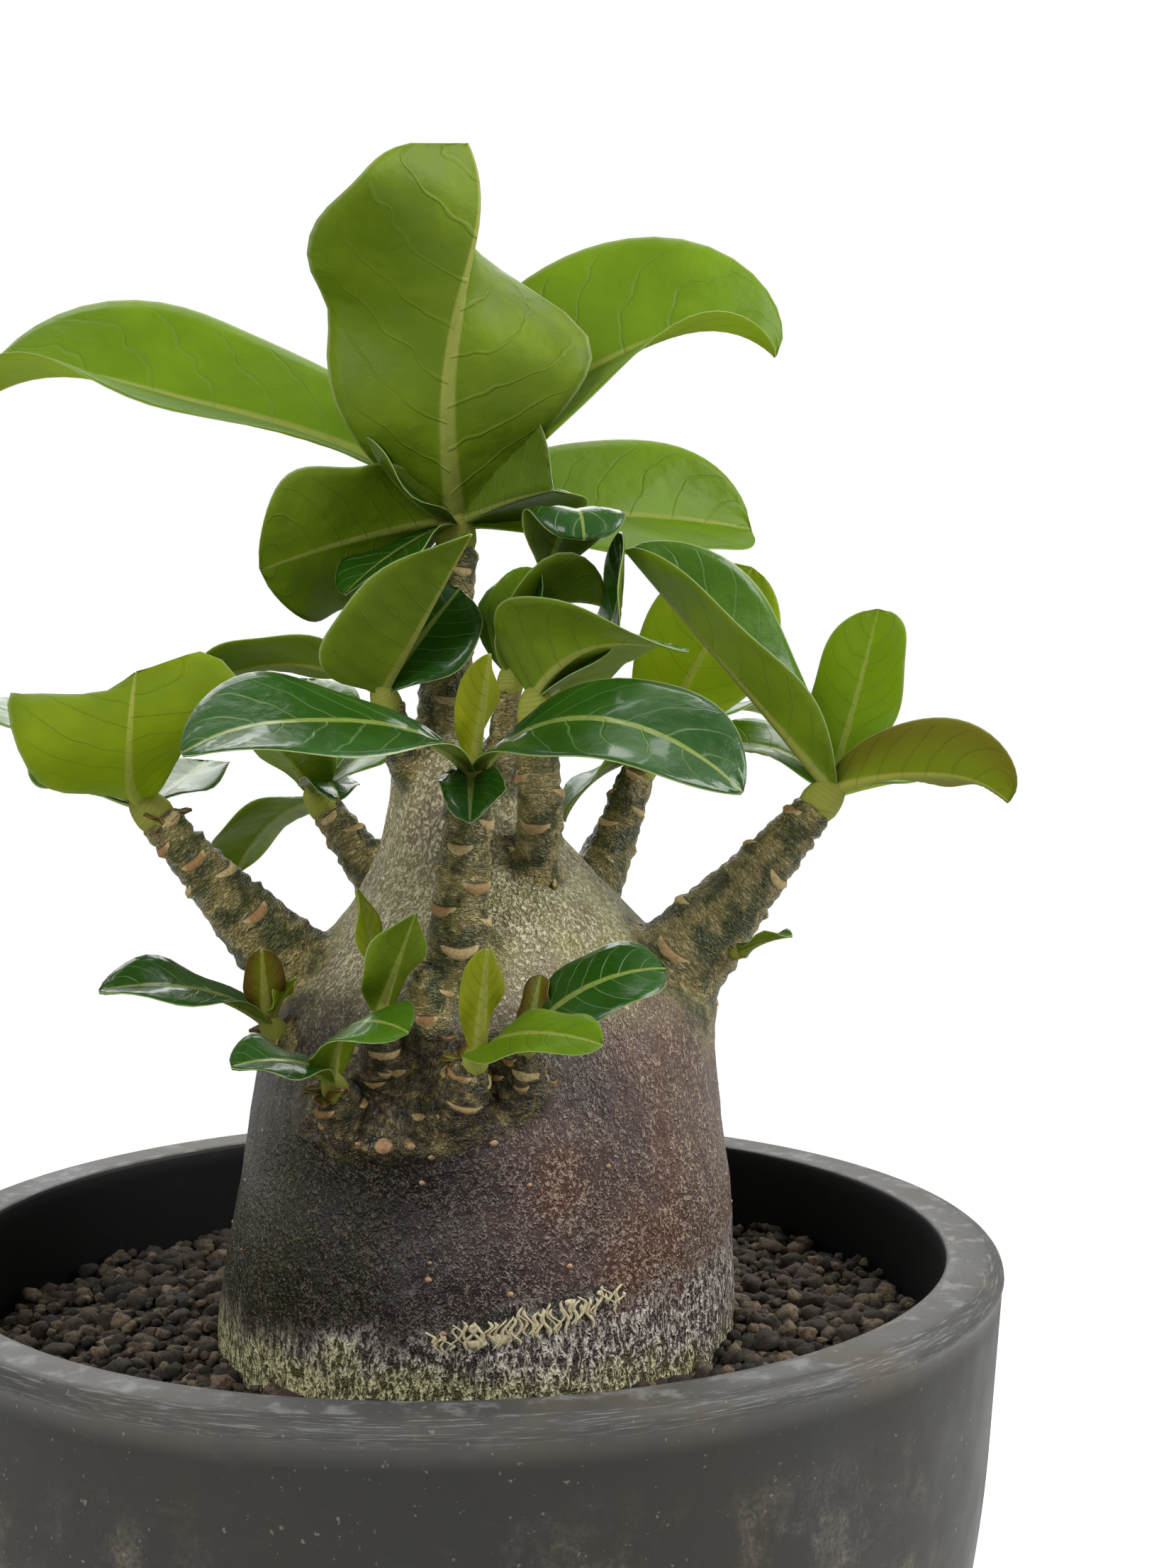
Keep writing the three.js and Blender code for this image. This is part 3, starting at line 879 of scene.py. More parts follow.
SHOOTS = (
    Shoot("leaves_leader", Stem(
        ((1, 4, 284), (-1, 5, 316), (1, 8, 348)), root=9, tip=5, scar_start=0.2, phase=20,
    ), (
        Leaf(
            azimuth=270, rise=(50, 60, 68, 82, 108), sway=(6, 2, -8, -12, 22),
            left=(8, 4, -4, 10, 75, 100, 110), right=(8, 4, 8, 28, -8, -38, -40), length=88, width=68,
            belly=0.72, point=0.32, wave=1,
        ),
        Leaf(
            azimuth=(166, 176), rise=(45, 23, 14, 12, -34), left=(0, -5, -5, 0, 15),
            right=(50, 50, 48, 48, 38), length=120, width=54, belly=0.66, point=0.5, tone=Tone.BRIGHT,
        ),
        Leaf(
            azimuth=(16, 0), rise=(58, 50, 30, 14, -45), left=(55, 65, 70, 65, 45), right=(-20, -9, -3, 0, 2),
            length=95, width=56, tone=Tone.BRIGHT,
        ),
        Leaf(
            azimuth=195, rise=(-8, -22), left=58, right=-56, length=47, width=40, wave=3.5, waves=1.8, up=0.7,
        ),
        Leaf(azimuth=(228, 208), rise=(10, 35, 62), left=-16, right=44, length=32, width=14, tone=Tone.DEEP),
        Leaf(
            azimuth=318, rise=(22, 14, 6), left=-6, right=(95, 100, 95), length=30, width=42, belly=0.6,
            point=0.45, up=0.3, tone=Tone.DEEP,
        ),
        Leaf(
            azimuth=(36, 24), rise=(8, -8), left=(42, 56, 76), right=-24, length=85, width=44, up=0.4,
            tone=Tone.BRIGHT,
        ),
        Leaf(azimuth=214, rise=(-16, -42), left=8, right=8, length=34, width=22, up=0.4, tone=Tone.DEEP),
        Leaf(azimuth=96, rise=(50, 20), left=12, right=12, length=60, width=36),
        Leaf(azimuth=125, rise=(8, -22), length=60, width=32, up=0.3),
    )),
    Shoot("leaves_centre", Stem(
        ((5, -2, 284), (11, -7, 300), (13, -8, 316)), root=6, tip=3.2, phase=80,
    ), (
        Leaf(azimuth=(26, 8), rise=(88, 58, 12, -20), left=35, right=(58, 45, 30), length=31, width=30),
        Leaf(azimuth=30, rise=(80, 74, 60), left=64, right=-50, length=24, width=14, tone=Tone.BRIGHT),
        Leaf(
            azimuth=(0, -10, -70, -85), rise=(60, 76, 34, -75), length=56, width=20, curl=-30, belly=0.78,
            point=0.4, tone=Tone.DEEP,
        ),
    )),
    Shoot("leaves_front_right", Stem(
        ((14, -10, 262), (19, -20, 284), (18.5, -21, 309)), root=6.5, tip=4.6, scar_pitch=3.2,
        scar_start=0.42, phase=150, rings=(Ring(along=0.3, azimuth=268, width=13, tall=2.6),),
    ), (
        Leaf(
            azimuth=(300, 330, 345), rise=(50, 30, 0, -15), left=(0, -10, -10, 0), right=(74, 62, 40, 10, 0),
            length=42, width=34, belly=0.3, point=1, wave=1,
        ),
        Leaf(azimuth=(18, 6), rise=(26, 44, 80, 95), length=45, belly=0.5, tone=Tone.DEEP),
    )),
    Shoot("leaves_centre_left", Stem(
        ((-3, 0, 286), (-10, -7, 300), (-14, -12, 312)), root=5.5, tip=3.6, phase=30,
    ), (
        Leaf(
            azimuth=314, rise=50, left=50, right=(10, 15, 20, 10), length=44, width=38, belly=0.3, point=0.8,
            wave=1,
        ),
        Leaf(azimuth=30, rise=(50, 46), left=44, right=-32, length=30, width=25, tone=Tone.DEEP),
        Leaf(azimuth=(160, 185), rise=(32, -30), left=30, right=-10, length=44, width=26),
    )),
    Shoot("leaves_front", Stem(
        ((3, -24, 236), (1.5, -40, 260), (4, -44, 294)), root=11.5, tip=5, scar_pitch=2.3, scar_start=0.3,
        phase=200, rings=(Ring(along=0.2, azimuth=262, width=17, tall=1.8),),
    ), (
        Leaf(
            azimuth=(232, 198), rise=(40, 18, 4, -5, -32), left=-15, right=28, length=72, width=35,
            point=0.75, tone=Tone.DEEP,
        ),
        Leaf(
            azimuth=(312, 340), rise=(40, 22, -2, -24, -44), left=29, right=-19, length=70, width=35,
            point=0.85, tone=Tone.DEEP,
        ),
        Leaf(
            azimuth=300, rise=(72, 76), left=38, right=38, length=26, width=10, point=0.8, stalk=1.2,
            tone=Tone.YOUNG,
        ),
        Leaf(
            azimuth=268, rise=(4, -52), left=24, right=24, length=20, width=13, stalk=1.4, up=0.3,
            tone=Tone.DEEP,
        ),
    )),
    Shoot("leaves_left", Stem(
        ((-20, -3, 238), (-46, -6, 265), (-65, -8, 287)), root=13.5, tip=4.6, scar_pitch=2.4, phase=310,
    ), (
        Leaf(
            azimuth=(262, 270), rise=(18, 42, 80, 152), sway=(8, -6, -8, 0), left=(10, 38, 20, -30),
            right=(10, -16, -20, 40), length=40, width=50, wave=1, belly=0.76, point=0.35, tone=Tone.BRIGHT,
        ),
        Leaf(azimuth=130, rise=(4, 14), left=8, right=8, length=42, width=22, up=0.3),
        Leaf(azimuth=75, rise=(8, 14), length=38, width=20, up=0.3),
        Leaf(azimuth=140, rise=(36, 4), length=62, width=26),
    ), bracts=5),
    Shoot("leaves_back_left", Stem(
        ((0, 18, 248), (-17, 30, 269), (-30, 37, 285)), root=11, tip=4.4, phase=120,
    ), (
        Leaf(azimuth=(250, 200), rise=40, left=14, right=14, length=35, width=26),
        Leaf(azimuth=130, rise=(-10, -52), length=42, width=22, up=0.3),
        Leaf(azimuth=285, rise=(36, -30), length=26, width=12, up=0.3, tone=Tone.DEEP),
        Leaf(azimuth=48, rise=(32, 10), length=40, width=22),
        Leaf(azimuth=95, rise=(52, 22), length=44, up=0.7),
    )),
    Shoot("leaves_right", Stem(
        ((30, -4, 230), (60, -8, 264), (82, -8, 289)), root=18, tip=4.8, scar_pitch=2.7, scar_start=0.22,
        phase=65,
    ), (
        Leaf(azimuth=(206, 166), rise=(47, 49), left=25, right=72, length=72, width=34),
        Leaf(azimuth=42, rise=(64, 70), left=6, right=6, length=44, width=25, point=0.5, tone=Tone.BRIGHT),
        Leaf(
            azimuth=(320, 350), rise=(20, 8, -5, -45), left=-10, right=(60, 74, 74, 60), length=43,
            tone=Tone.FLUSHED,
        ),
        Leaf(azimuth=(40, 20), rise=(8, 0), length=46, width=20, up=0.2, tone=Tone.BRIGHT),
        Leaf(azimuth=(128, 154), rise=(40, -30), left=0, right=20, length=48, width=26),
    )),
    Shoot("leaves_back_right", Stem(
        ((22, 14, 250), (37, 28, 274), (45, 32, 294)), root=11, tip=4.4, scar_pitch=3, phase=260,
    ), (
        Leaf(azimuth=330, rise=58, left=-50, right=56, length=52, width=31, up=0.7, tone=Tone.BRIGHT),
        Leaf(azimuth=42, rise=(36, -20), width=26, up=0.7),
        Leaf(azimuth=(175, 185), rise=(-10, -70), length=27, width=18, up=0.6),
        Leaf(azimuth=95, rise=(30, -40), length=44, width=22, up=0.4),
    )),
    Shoot("sprout_left", Stem(
        ((-28, -19, 230), (-35, -24, 237), (-38, -26, 242)), root=4.5, tip=3, phase=40,
    ), (
        Leaf(azimuth=(222, 190), rise=(38, -10), left=-6, right=26, length=40, width=19, tone=Tone.DEEP),
        Leaf(azimuth=265, rise=(62, 74), length=18, width=8, stalk=1, tone=Tone.BRONZE),
        Leaf(azimuth=340, rise=(66, 46), length=12, width=6, stalk=1, tone=Tone.BRIGHT),
    ), bracts=3),
    Shoot("sprout_front_left", Stem(
        ((-18, -40, 219), (-22, -48, 227), (-24, -51, 234)), root=5, tip=3, phase=90,
    ), (
        Leaf(
            azimuth=(232, 208), rise=(36, -10), left=-10, right=30, length=26, width=14, stalk=1.2,
            tone=Tone.DEEP,
        ),
        Leaf(azimuth=(280, 335), rise=(78, -24), left=20, right=-20, length=32, width=20, stalk=1.2),
    ), bracts=6),
    Shoot("sprout_centre", Stem(
        ((-13, -38, 230), (-15, -46, 238), (-15, -48, 247)), root=4.5, tip=2.8, phase=10,
    ), (
        Leaf(azimuth=(290, 330), rise=(54, 68), length=25, width=14, stalk=1.2),
        Leaf(azimuth=150, rise=(84, 72), length=26, width=6, stalk=1, tone=Tone.YOUNG),
    )),
    Shoot("sprout_front", Stem(
        ((-3, -46, 220), (0, -55, 231), (4, -61, 241)), root=6, tip=3, phase=230,
    ), (
        Leaf(azimuth=290, rise=76, left=24, right=24, length=23, width=8, stalk=1.2, tone=Tone.YOUNG),
        Leaf(
            azimuth=(292, 336), rise=(34, -14), left=24, right=-20, length=36, width=18, belly=0.54,
            stalk=1.2, tone=Tone.BRIGHT,
        ),
    ), bracts=6),
    Shoot("sprout_front_right", Stem(
        ((10, -44, 224), (13, -51, 233), (15, -54, 242)), root=5.5, tip=3, phase=140,
    ), (
        Leaf(
            azimuth=(330, 380), rise=(58, -4), left=34, right=-30, length=34, width=20, stalk=1.2,
            tone=Tone.DEEP,
        ),
        Leaf(azimuth=60, rise=66, length=14, width=6, stalk=1, tone=Tone.BRONZE),
    ), bracts=3),
    Shoot("sprout_under_right", Stem(
        ((58, -8, 258), (61, -12, 256), (63.5, -15, 257)), root=2.4, tip=1.6, phase=0,
    ), (
        Leaf(azimuth=(285, 345), rise=(34, 4), length=15, width=8, stalk=0.9),
    )),
)

BARE_STUB = Stem(((-5, -38, 238), (-5, -45, 247), (-5, -45, 259)), root=5, tip=3.8, scar_pitch=2.2, phase=75)


@dataclass(frozen=True)
class Swelling:
    """A rounded bulge on the side of the trunk."""

    azimuth: float
    height: float
    out: float
    spread: float
    tall: float

    def at(self, azimuth: float, height: float) -> float:
        """Give how far the bulge stands out at a place.

        Args:
            azimuth: the place's side.
            height: its height.

        Returns:
            The bulge's share of the radius in millimetres.
        """
        off = abs((azimuth - self.azimuth + 540) % 360 - 180) / self.spread
        up = (height - self.height) / self.tall
        return self.out * math.exp(-off * off - up * up)


@dataclass(frozen=True)
class SkinPatch:
    """An oval patch on the trunk's front: its middle, its half sizes, its slant and how its edge fades."""

    azimuth: float
    height: float
    breadth: float
    tall: float
    slant: float
    squareness: int
    outer: float
    inner: float

    AXIS = 6

    def share(self, places: Numbers) -> Numbers:
        """Give how far each place lies in the patch.

        Args:
            places: points in millimetres.

        Returns:
            A share from 0 to 1 for each.
        """
        azimuth = np.degrees(np.arctan2(places[:, 1], places[:, 0] - self.AXIS)) % 360
        side = (azimuth - self.azimuth) / self.breadth
        level = (places[:, 2] - self.height - self.slant * side) / self.tall
        return ease(self.outer, self.inner, np.sqrt(side ** self.squareness + level ** 2))

    def at(self, side: float, level: float) -> tuple[float, float]:
        """Give the azimuth and the height of a place, both told from -1 to 1 over the patch."""
        return self.azimuth + self.breadth * side, self.height + self.slant * side + self.tall * level


BURL = SkinPatch(256, 234, breadth=36, tall=14, slant=5, squareness=2, outer=1.05, inner=0.75)
BAND = SkinPatch(280, 186.7, breadth=22, tall=4.4, slant=3.6, squareness=4, outer=1.1, inner=0.7)


@dataclass
class Trunk:
    """The swollen trunk with all its stems, grown as one piece, and the marks on its skin."""

    stems: tuple[Stem, ...]
    outline: tuple[tuple[float, float], ...] = (
        (0, 110), (38, 113), (52, 128), (58, 148), (59, 168), (58, 187), (54.5, 213), (51, 233),
        (46, 246), (37, 257), (29, 268), (22, 279), (16, 291), (12.5, 301), (0, 308),
    )
    swellings: tuple[Swelling, ...] = (
        Swelling(183, 249, 6, 26, 11), Swelling(352, 250, 7, 28, 13), Swelling(262, 258, 7, 24, 12),
        Swelling(250, 224, 4, 34, 9), Swelling(115, 258, 5, 24, 12), Swelling(52, 262, 5, 24, 12),
        Swelling(300, 268, 4, 22, 9), Swelling(215, 190, 1.5, 30, 30), Swelling(320, 205, 1.5, 26, 26),
    )
    lean: float = 5.5
    sways: tuple[tuple[float, float, float], ...] = ((2, 168, 215), (-7, 262, 304))
    flutes: tuple[tuple[float, float, float], ...] = ((0.9, 3, 40), (0.5, 7, 0))
    voxel: float = 1.15
    soil_line: float = 168.0

    CORE = 10
    BULGE_FOOT = 176
    BULGE_FULL = 196
    BODY_GRID = (140, 120)
    STEM_GRID = (28, 50)
    RELAX_ROUNDS = 7
    BURL_RISE = 1.2
    BURIED = 4
    SPINE_STEPS = 60
    SPOT_CLEARANCE = 6

    def middle(self, height: float) -> float:
        """Give how far the trunk's axis stands towards +X at a height."""
        return sum((shift * ease(low, high, height) for shift, low, high in self.sways), self.lean)

    def outline_point(self, along: float) -> tuple[float, float]:
        """Give a point of the smoothed outline.

        Args:
            along: the share of the way along its corners.

        Returns:
            The radius and the height.
        """
        corners = [Vector(corner) for corner in self.outline]
        last = len(corners) - 1
        reach = along * last
        first = min(int(reach), last - 1)
        before = corners[max(first - 1, 0)]
        start, end = corners[first], corners[first + 1]
        after = corners[min(first + 2, last)]
        spot = hermite(start, end, (end - before) / 2, (after - start) / 2, reach - first)
        return max(spot.x, 0.0), spot.y

    def body_point(self, around: float, along: float) -> Vector:
        """Give a point of the trunk without its stems.

        Args:
            around: the share of the way round.
            along: the share of the way along the outline.

        Returns:
            The point.
        """
        radius, height = self.outline_point(along)
        azimuth = 360 * around
        if radius > self.CORE:
            bulge = sum(swelling.at(azimuth, height) for swelling in self.swellings)
            flutes = sum(out * math.sin(math.radians(n * azimuth + turn)) for out, n, turn in self.flutes)
            radius += ease(self.BULGE_FOOT, self.BULGE_FULL, height) * (bulge + flutes)
        angle = math.radians(azimuth)
        return Vector((radius * math.cos(angle) + self.middle(height), radius * math.sin(angle), height))

    def spot(self, azimuth: float, height: float) -> Spot:
        """Find a place on the trunk's side.

        Args:
            azimuth: the side.
            height: the height.

        Returns:
            The place, told from the trunk's axis.
        """
        radii, heights = zip(*self.outline)
        radius = float(np.interp(height, heights, radii)) + self.SPOT_CLEARANCE
        return Spot(Vector((self.middle(height), 0, height)), Vector((0, 0, 1)), compass(azimuth), radius)

    def build(self, skin: Material) -> Piece:
        """Make the trunk and its stems as one skin.

        Args:
            skin: the skin's material.

        Returns:
            The finished piece.
        """
        bm = bmesh.new()
        add_sheet(bm, *self.BODY_GRID, self.body_point)
        for stem in self.stems:
            add_sheet(bm, *self.STEM_GRID, stem.skin_point)
        bmesh.ops.remove_doubles(bm, verts=bm.verts, dist=0.02)
        piece = finish_mesh(bm, "trunk_skin", [skin])
        remesh = piece.modifiers.new("join", "REMESH")
        remesh.mode = "VOXEL"
        remesh.voxel_size = self.voxel * MM
        remesh.use_smooth_shade = True
        relax = piece.modifiers.new("relax", "SMOOTH")
        relax.factor = 0.5
        relax.iterations = self.RELAX_ROUNDS
        apply_modifiers(piece)
        self.carve(piece.data)
        settle(piece, "bark", "trunk")
        return piece

    def carve(self, mesh: bpy.types.Mesh) -> None:
        """Raise the skin's lumps, knobs and rings, and mark its zones as attributes.

        Args:
            mesh: the skin's mesh.
        """
        places = self.read(mesh, "co") / MM
        normals = self.read(mesh, "normal")
        raised = self.lumps(places)
        stem_share, reached = np.zeros(len(places)), np.zeros(len(places))
        for stem in self.stems:
            share, relief, reach = self.stem_relief(stem, places)
            raised += relief
            reached = np.where(share > stem_share, reach, reached)
            stem_share = np.maximum(stem_share, share)
        burl, band = BURL.share(places), BAND.share(places)
        raised += burl * (self.BURL_RISE + self.burl_lumps(places))
        buried = ease(self.soil_line - self.BURIED, self.soil_line + self.BURIED, places[:, 2])
        places += normals * (raised * buried)[:, None]
        mesh.vertices.foreach_set("co", (places * MM).ravel())
        for key, values in (("stem", stem_share), ("burl", burl), ("band", band), ("reach", reached)):
            mesh.attributes.new(key, "FLOAT", "POINT").data.foreach_set("value", values)
        mesh.update()

    @staticmethod
    def read(mesh: bpy.types.Mesh, key: str) -> Numbers:
        """Read a vector of each vertex.

        Args:
            mesh: the mesh.
            key: "co" for the places or "normal" for the directions.

        Returns:
            One row for each vertex.
        """
        values = np.empty(len(mesh.vertices) * 3)
        mesh.vertices.foreach_get(key, values)
        return values.reshape(-1, 3)

    @staticmethod
    def lumps(places: Numbers) -> Numbers:
        """Give the trunk's gentle unevenness at each place, from broad swells and fine upright ones."""
        upright = [noise.noise(Vector((p[0] / 3.4, p[1] / 3.4, p[2] / 8))) for p in places]
        return 0.55 * np.array([noise.noise(Vector(p) / 17) for p in places]) + 0.28 * np.array(upright)

    @staticmethod
    def burl_lumps(places: Numbers) -> Numbers:
        """Give the burl's warts at each place, sharp small ones on soft broad ones."""
        warts = np.array([abs(noise.noise(Vector(p) / 4.4)) for p in places])
        return 2.4 * warts + 0.9 * np.array([noise.noise(Vector(p) / 8) for p in places])

    def stem_relief(self, stem: Stem, places: Numbers) -> tuple[Numbers, Numbers, Numbers]:
        """Work out a stem's share of the skin and the knobs of its leaf scars.

        Args:
            stem: the stem.
            places: the skin's vertices, in millimetres.

        Returns:
            The share from 0 to 1, the relief and the way along the stem in millimetres, for each vertex.
        """
        shares = np.linspace(0, 1, self.SPINE_STEPS + 1)
        spine = np.array([stem.route.point(s) for s in shares])
        share, relief, reach = (np.zeros(len(places)) for _ in range(3))
        low, high = spine.min(0) - stem.root * 1.6, spine.max(0) + stem.tip * 2
        near = np.nonzero(((places > low) & (places < high)).all(1))[0]
        if not len(near):
            return share, relief, reach
        offset = places[near][:, None, :] - spine[None]
        nearest = (offset ** 2).sum(2).argmin(1)
        arm = offset[np.arange(len(near)), nearest]
        bases = np.array([[tuple(way) for way in stem.basis(s)] for s in shares])
        side, up, forward = (bases[nearest, i] for i in range(3))
        ahead = (arm * forward).sum(1)
        along = shares[nearest] + ahead / stem.length
        distance = np.linalg.norm(arm - forward * ahead[:, None], axis=1)
        angle = np.degrees(np.arctan2((arm * up).sum(1), (arm * side).sum(1)))
        own = ease(1.7, 1.15, distance / stem.radius(along)) * ease(0.05, 0.3, along)
        share[near] = own
        relief[near] = own * self.rings_and_knobs(stem, along, angle)
        reach[near] = along * stem.length
        return share, relief, reach

    @staticmethod
    def rings_and_knobs(stem: Stem, along: Numbers, angle: Numbers) -> Numbers:
        """Work out a stem's knobs, one under each leaf scar, and the fine ripples round it.

        Args:
            stem: the stem.
            along: each place's share of the stem's length.
            angle: its angle round the stem in degrees.

        Returns:
            The relief in millimetres, for each place.
        """
        knobs = np.zeros(len(along))
        radius = stem.radius(along)
        width = 0.7 * stem.tip + 1.2
        for place, turn, _ in stem.scars():
            across = radius * np.radians((angle - turn + 180) % 360 - 180)
            lip = (along - place) * stem.length - 0.07 * across ** 2
            ridge = 0.7 * np.exp(-(((lip + 0.7) / 1.0) ** 2))
            notch = 0.55 * np.exp(-(((lip - 1.0) / 0.7) ** 2))
            knobs += np.exp(-((across / width) ** 2)) * (ridge - notch)
        ripples = 0.16 * np.sin(2 * math.pi * along * stem.length / 3.3 + np.radians(angle) * 2)
        return np.clip(knobs, -0.6, 0.9) + ripples


@dataclass
class SkinMarks:
    """Thin pads on the trunk's skin: leaf scars, healed rings, corky bands and small dots."""

    tree: BVHTree
    trunk: Trunk

    SINK = 0.35
    BURL_SCARS = 15
    PORES = 44
    STRIPS = 38

    def pad(
        self, bm: BMesh, spot: Spot, width: float, tall: float, cup: float, lift: float,
        shade: float = 0.5, columns: int = 8, rows: int = 4,
    ) -> None:
        """Press a lens-shaped pad on the skin.

        Args:
            bm: the mesh.
            spot: its middle.
            width: its size round the stem.
            tall: its size along the stem.
            cup: how far its ends rise above its middle.
            lift: how far its middle stands proud.
            shade: its tone from 0 to 1.
            columns: faces across.
            rows: faces along.
        """

        def place(across: float, along: float) -> Vector:
            """Give the point at a place of the grid."""
            off = 2 * across - 1
            level = 2 * along - 1
            lens = max(1 - off * off, 0.02) ** 0.6
            dome = lift * (1 - off * off) * (1 - level * level) - 0.06 * max(abs(off), abs(level)) ** 4
            return self.lay(spot, off * width / 2, cup * off * off + level * lens * tall / 2, dome)

        self.press(bm, columns, rows, place, shade)

    def lay(self, spot: Spot, across: float, up: float, proud: float) -> Vector:
        """Find a point on the real skin beside a spot.

        Args:
            spot: the spot.
            across: the way round the stem in millimetres.
            up: the way along it in millimetres.
            proud: how far the point stands off the skin.

        Returns:
            The point.
        """
        start, inwards = spot.aim(across, up)
        hit, normal, _, _ = self.tree.ray_cast(start * MM, inwards, (spot.radius + Spot.CLEARANCE) * MM)
        if hit is None:
            return start + inwards * Spot.CLEARANCE
        return hit / MM + normal * proud

    def press(
        self, bm: BMesh, columns: int, rows: int, place: Callable[[float, float], Vector], shade: float,
    ) -> None:
        """Add a sheet that lies on the skin, with its thickness sunk in it.

        Args:
            bm: the mesh.
            columns: faces across.
            rows: faces along.
            place: gives a point for each place across and along.
            shade: its tone from 0 to 1.
        """
        tone = bm.verts.layers.float.get("shade") or bm.verts.layers.float.new("shade")
        made = add_sheet(bm, columns, rows, place)
        faces = list({face for vert in made for face in vert.link_faces})
        faces.sort(key=lambda face: tuple(face.calc_center_median()))
        for face in faces:
            face.normal_update()
        walls = bmesh.ops.solidify(bm, geom=faces, thickness=self.SINK)["geom"]
        for vert in [*made, *(item for item in walls if isinstance(item, BMVert))]:
            vert[tone] = shade

    def leaf_scars(self, cork: Material) -> None:
        """Make the tan crescents that fallen leaves left, and the wide healed rings.

        Args:
            cork: the scars' material.
        """
        bm = bmesh.new()
        rng = random.Random(SEED)
        for stem in self.trunk.stems:
            for place, angle, years in stem.scars():
                radius = float(stem.radius(place))
                width = min(1.6 * radius + 0.2, 10) * rng.uniform(0.7, 1.1)
                tall = (3.3 - 0.9 * years) * rng.uniform(0.75, 1.15) * min(1.0, stem.tip / 4.4)
                if rng.random() < 0.08 + 0.35 * years or (stem.tip < 3.5 and years > 0.6):
                    continue
                self.pad(bm, stem.spot(place, angle), width, tall, 0.16 * width, 0.42, rng.random())
            for ring in stem.rings:
                spot = stem.spot(ring.along, stem.facing(ring.along, ring.azimuth))
                self.pad(bm, spot, ring.width, ring.tall, 2.4, 0.5, 0.9, 22, 5)
        for _ in range(self.BURL_SCARS):
            turn, reach = rng.uniform(0, 2 * math.pi), 0.85 * math.sqrt(rng.random())
            spot = self.trunk.spot(*BURL.at(reach * math.cos(turn), reach * math.sin(turn)))
            width = rng.uniform(2.4, 4.8)
            tall = rng.uniform(0.35, 0.6) * width
            self.pad(bm, spot, width, tall, rng.uniform(0.1, 0.3) * width, 0.8, rng.uniform(0.4, 1), 6, 4)
        settle(finish_mesh(bm, "leaf_scars", [cork]), "bark")

    def dots(self, cork: Material) -> None:
        """Make the small tan breathing pores on the trunk's side, with a row of knobs below the burl.

        Args:
            cork: the pores' material.
        """
        bm = bmesh.new()
        rng = random.Random(SEED + 1)
        knobs = (
            (248.5, 223.5, 4.4), (243, 223.7, 1.3), (254.3, 224, 2.0), (258.3, 221.5, 1.6), (271, 224.3, 1.9),
            (255.8, 215.7, 1.6), (278.6, 215, 1.3), (258.2, 199.4, 1.1), (258.2, 196, 1.7), (275, 193, 1.7),
            (297.8, 217, 1.4), (314.7, 209.5, 1.2), (287.8, 197.5, 1.6), (262, 185, 1.6),
        )
        for azimuth, height, size in knobs:
            self.pad(bm, self.trunk.spot(azimuth, height), size, size * 0.8, 0, 0.3 * size, 0.8, 6, 6)
        for _ in range(self.PORES):
            azimuth, height = rng.uniform(-40, 220), rng.uniform(178, 236)
            size = rng.uniform(0.8, 1.5)
            self.pad(bm, self.trunk.spot(azimuth, height), size, size * 0.7, 0, 0.25, rng.random(), 4, 4)
        settle(finish_mesh(bm, "pore_dots", [cork]), "bark")

    def corky_band(self, cork: Material) -> None:
        """Make the cream scar low on the trunk's front, a band of wavy corky strips.

        Args:
            cork: the band's material.
        """
        bm = bmesh.new()
        rng = random.Random(SEED + 2)
        for i in range(self.STRIPS):
            share = i / (self.STRIPS - 1)
            bulk = 0.5 + 0.5 * math.sin(math.pi * share)
            height = 183.4 + 6.6 * share + rng.uniform(-1.2, 1.2)
            lean = rng.choice((-1.2, -0.6, 0.5, 1.1)) + rng.uniform(-0.3, 0.3)
            self.strip(
                bm, self.trunk.spot(260 + 40 * share, height), rng.uniform(4.6, 8.4) * bulk,
                rng.uniform(0.8, 1.35), lean, rng,
            )
        lumps = ((269, 182.8, 5, 2.2), (273.5, 183.6, 5, 2.8), (288, 190, 3, 1.8))
        for azimuth, height, width, tall in lumps:
            self.pad(bm, self.trunk.spot(azimuth, height), width, tall, 0.4, 0.35, 0.9, 8, 4)
        settle(finish_mesh(bm, "corky_band", [cork]), "bark")

    def strip(self, bm: BMesh, spot: Spot, tall: float, wide: float, lean: float, rng: random.Random) -> None:
        """Press one wavy corky strip on the skin.

        Args:
            bm: the mesh.
            spot: its middle.
            tall: its size along the trunk.
            wide: its size round the trunk.
            lean: how far its top stands to the right of its middle.
            rng: the band's random numbers.
        """
        bow, phase = rng.uniform(0.45, 0.95), rng.uniform(0, 6.3)

        def place(across: float, along: float) -> Vector:
            """Give the point at a place of the grid."""
            off, level = 2 * across - 1, 2 * along - 1
            sway = lean * level + bow * math.sin(4.2 * level + phase)
            width = wide * (0.12 + 0.88 * (1 - level ** 6) ** 0.5)
            dome = 0.45 * (1 - off * off) * (1 - level ** 6) - 0.04
            return self.lay(spot, sway + off * width / 2, level * tall / 2, dome)

        self.press(bm, 3, 9, place, 0.95)


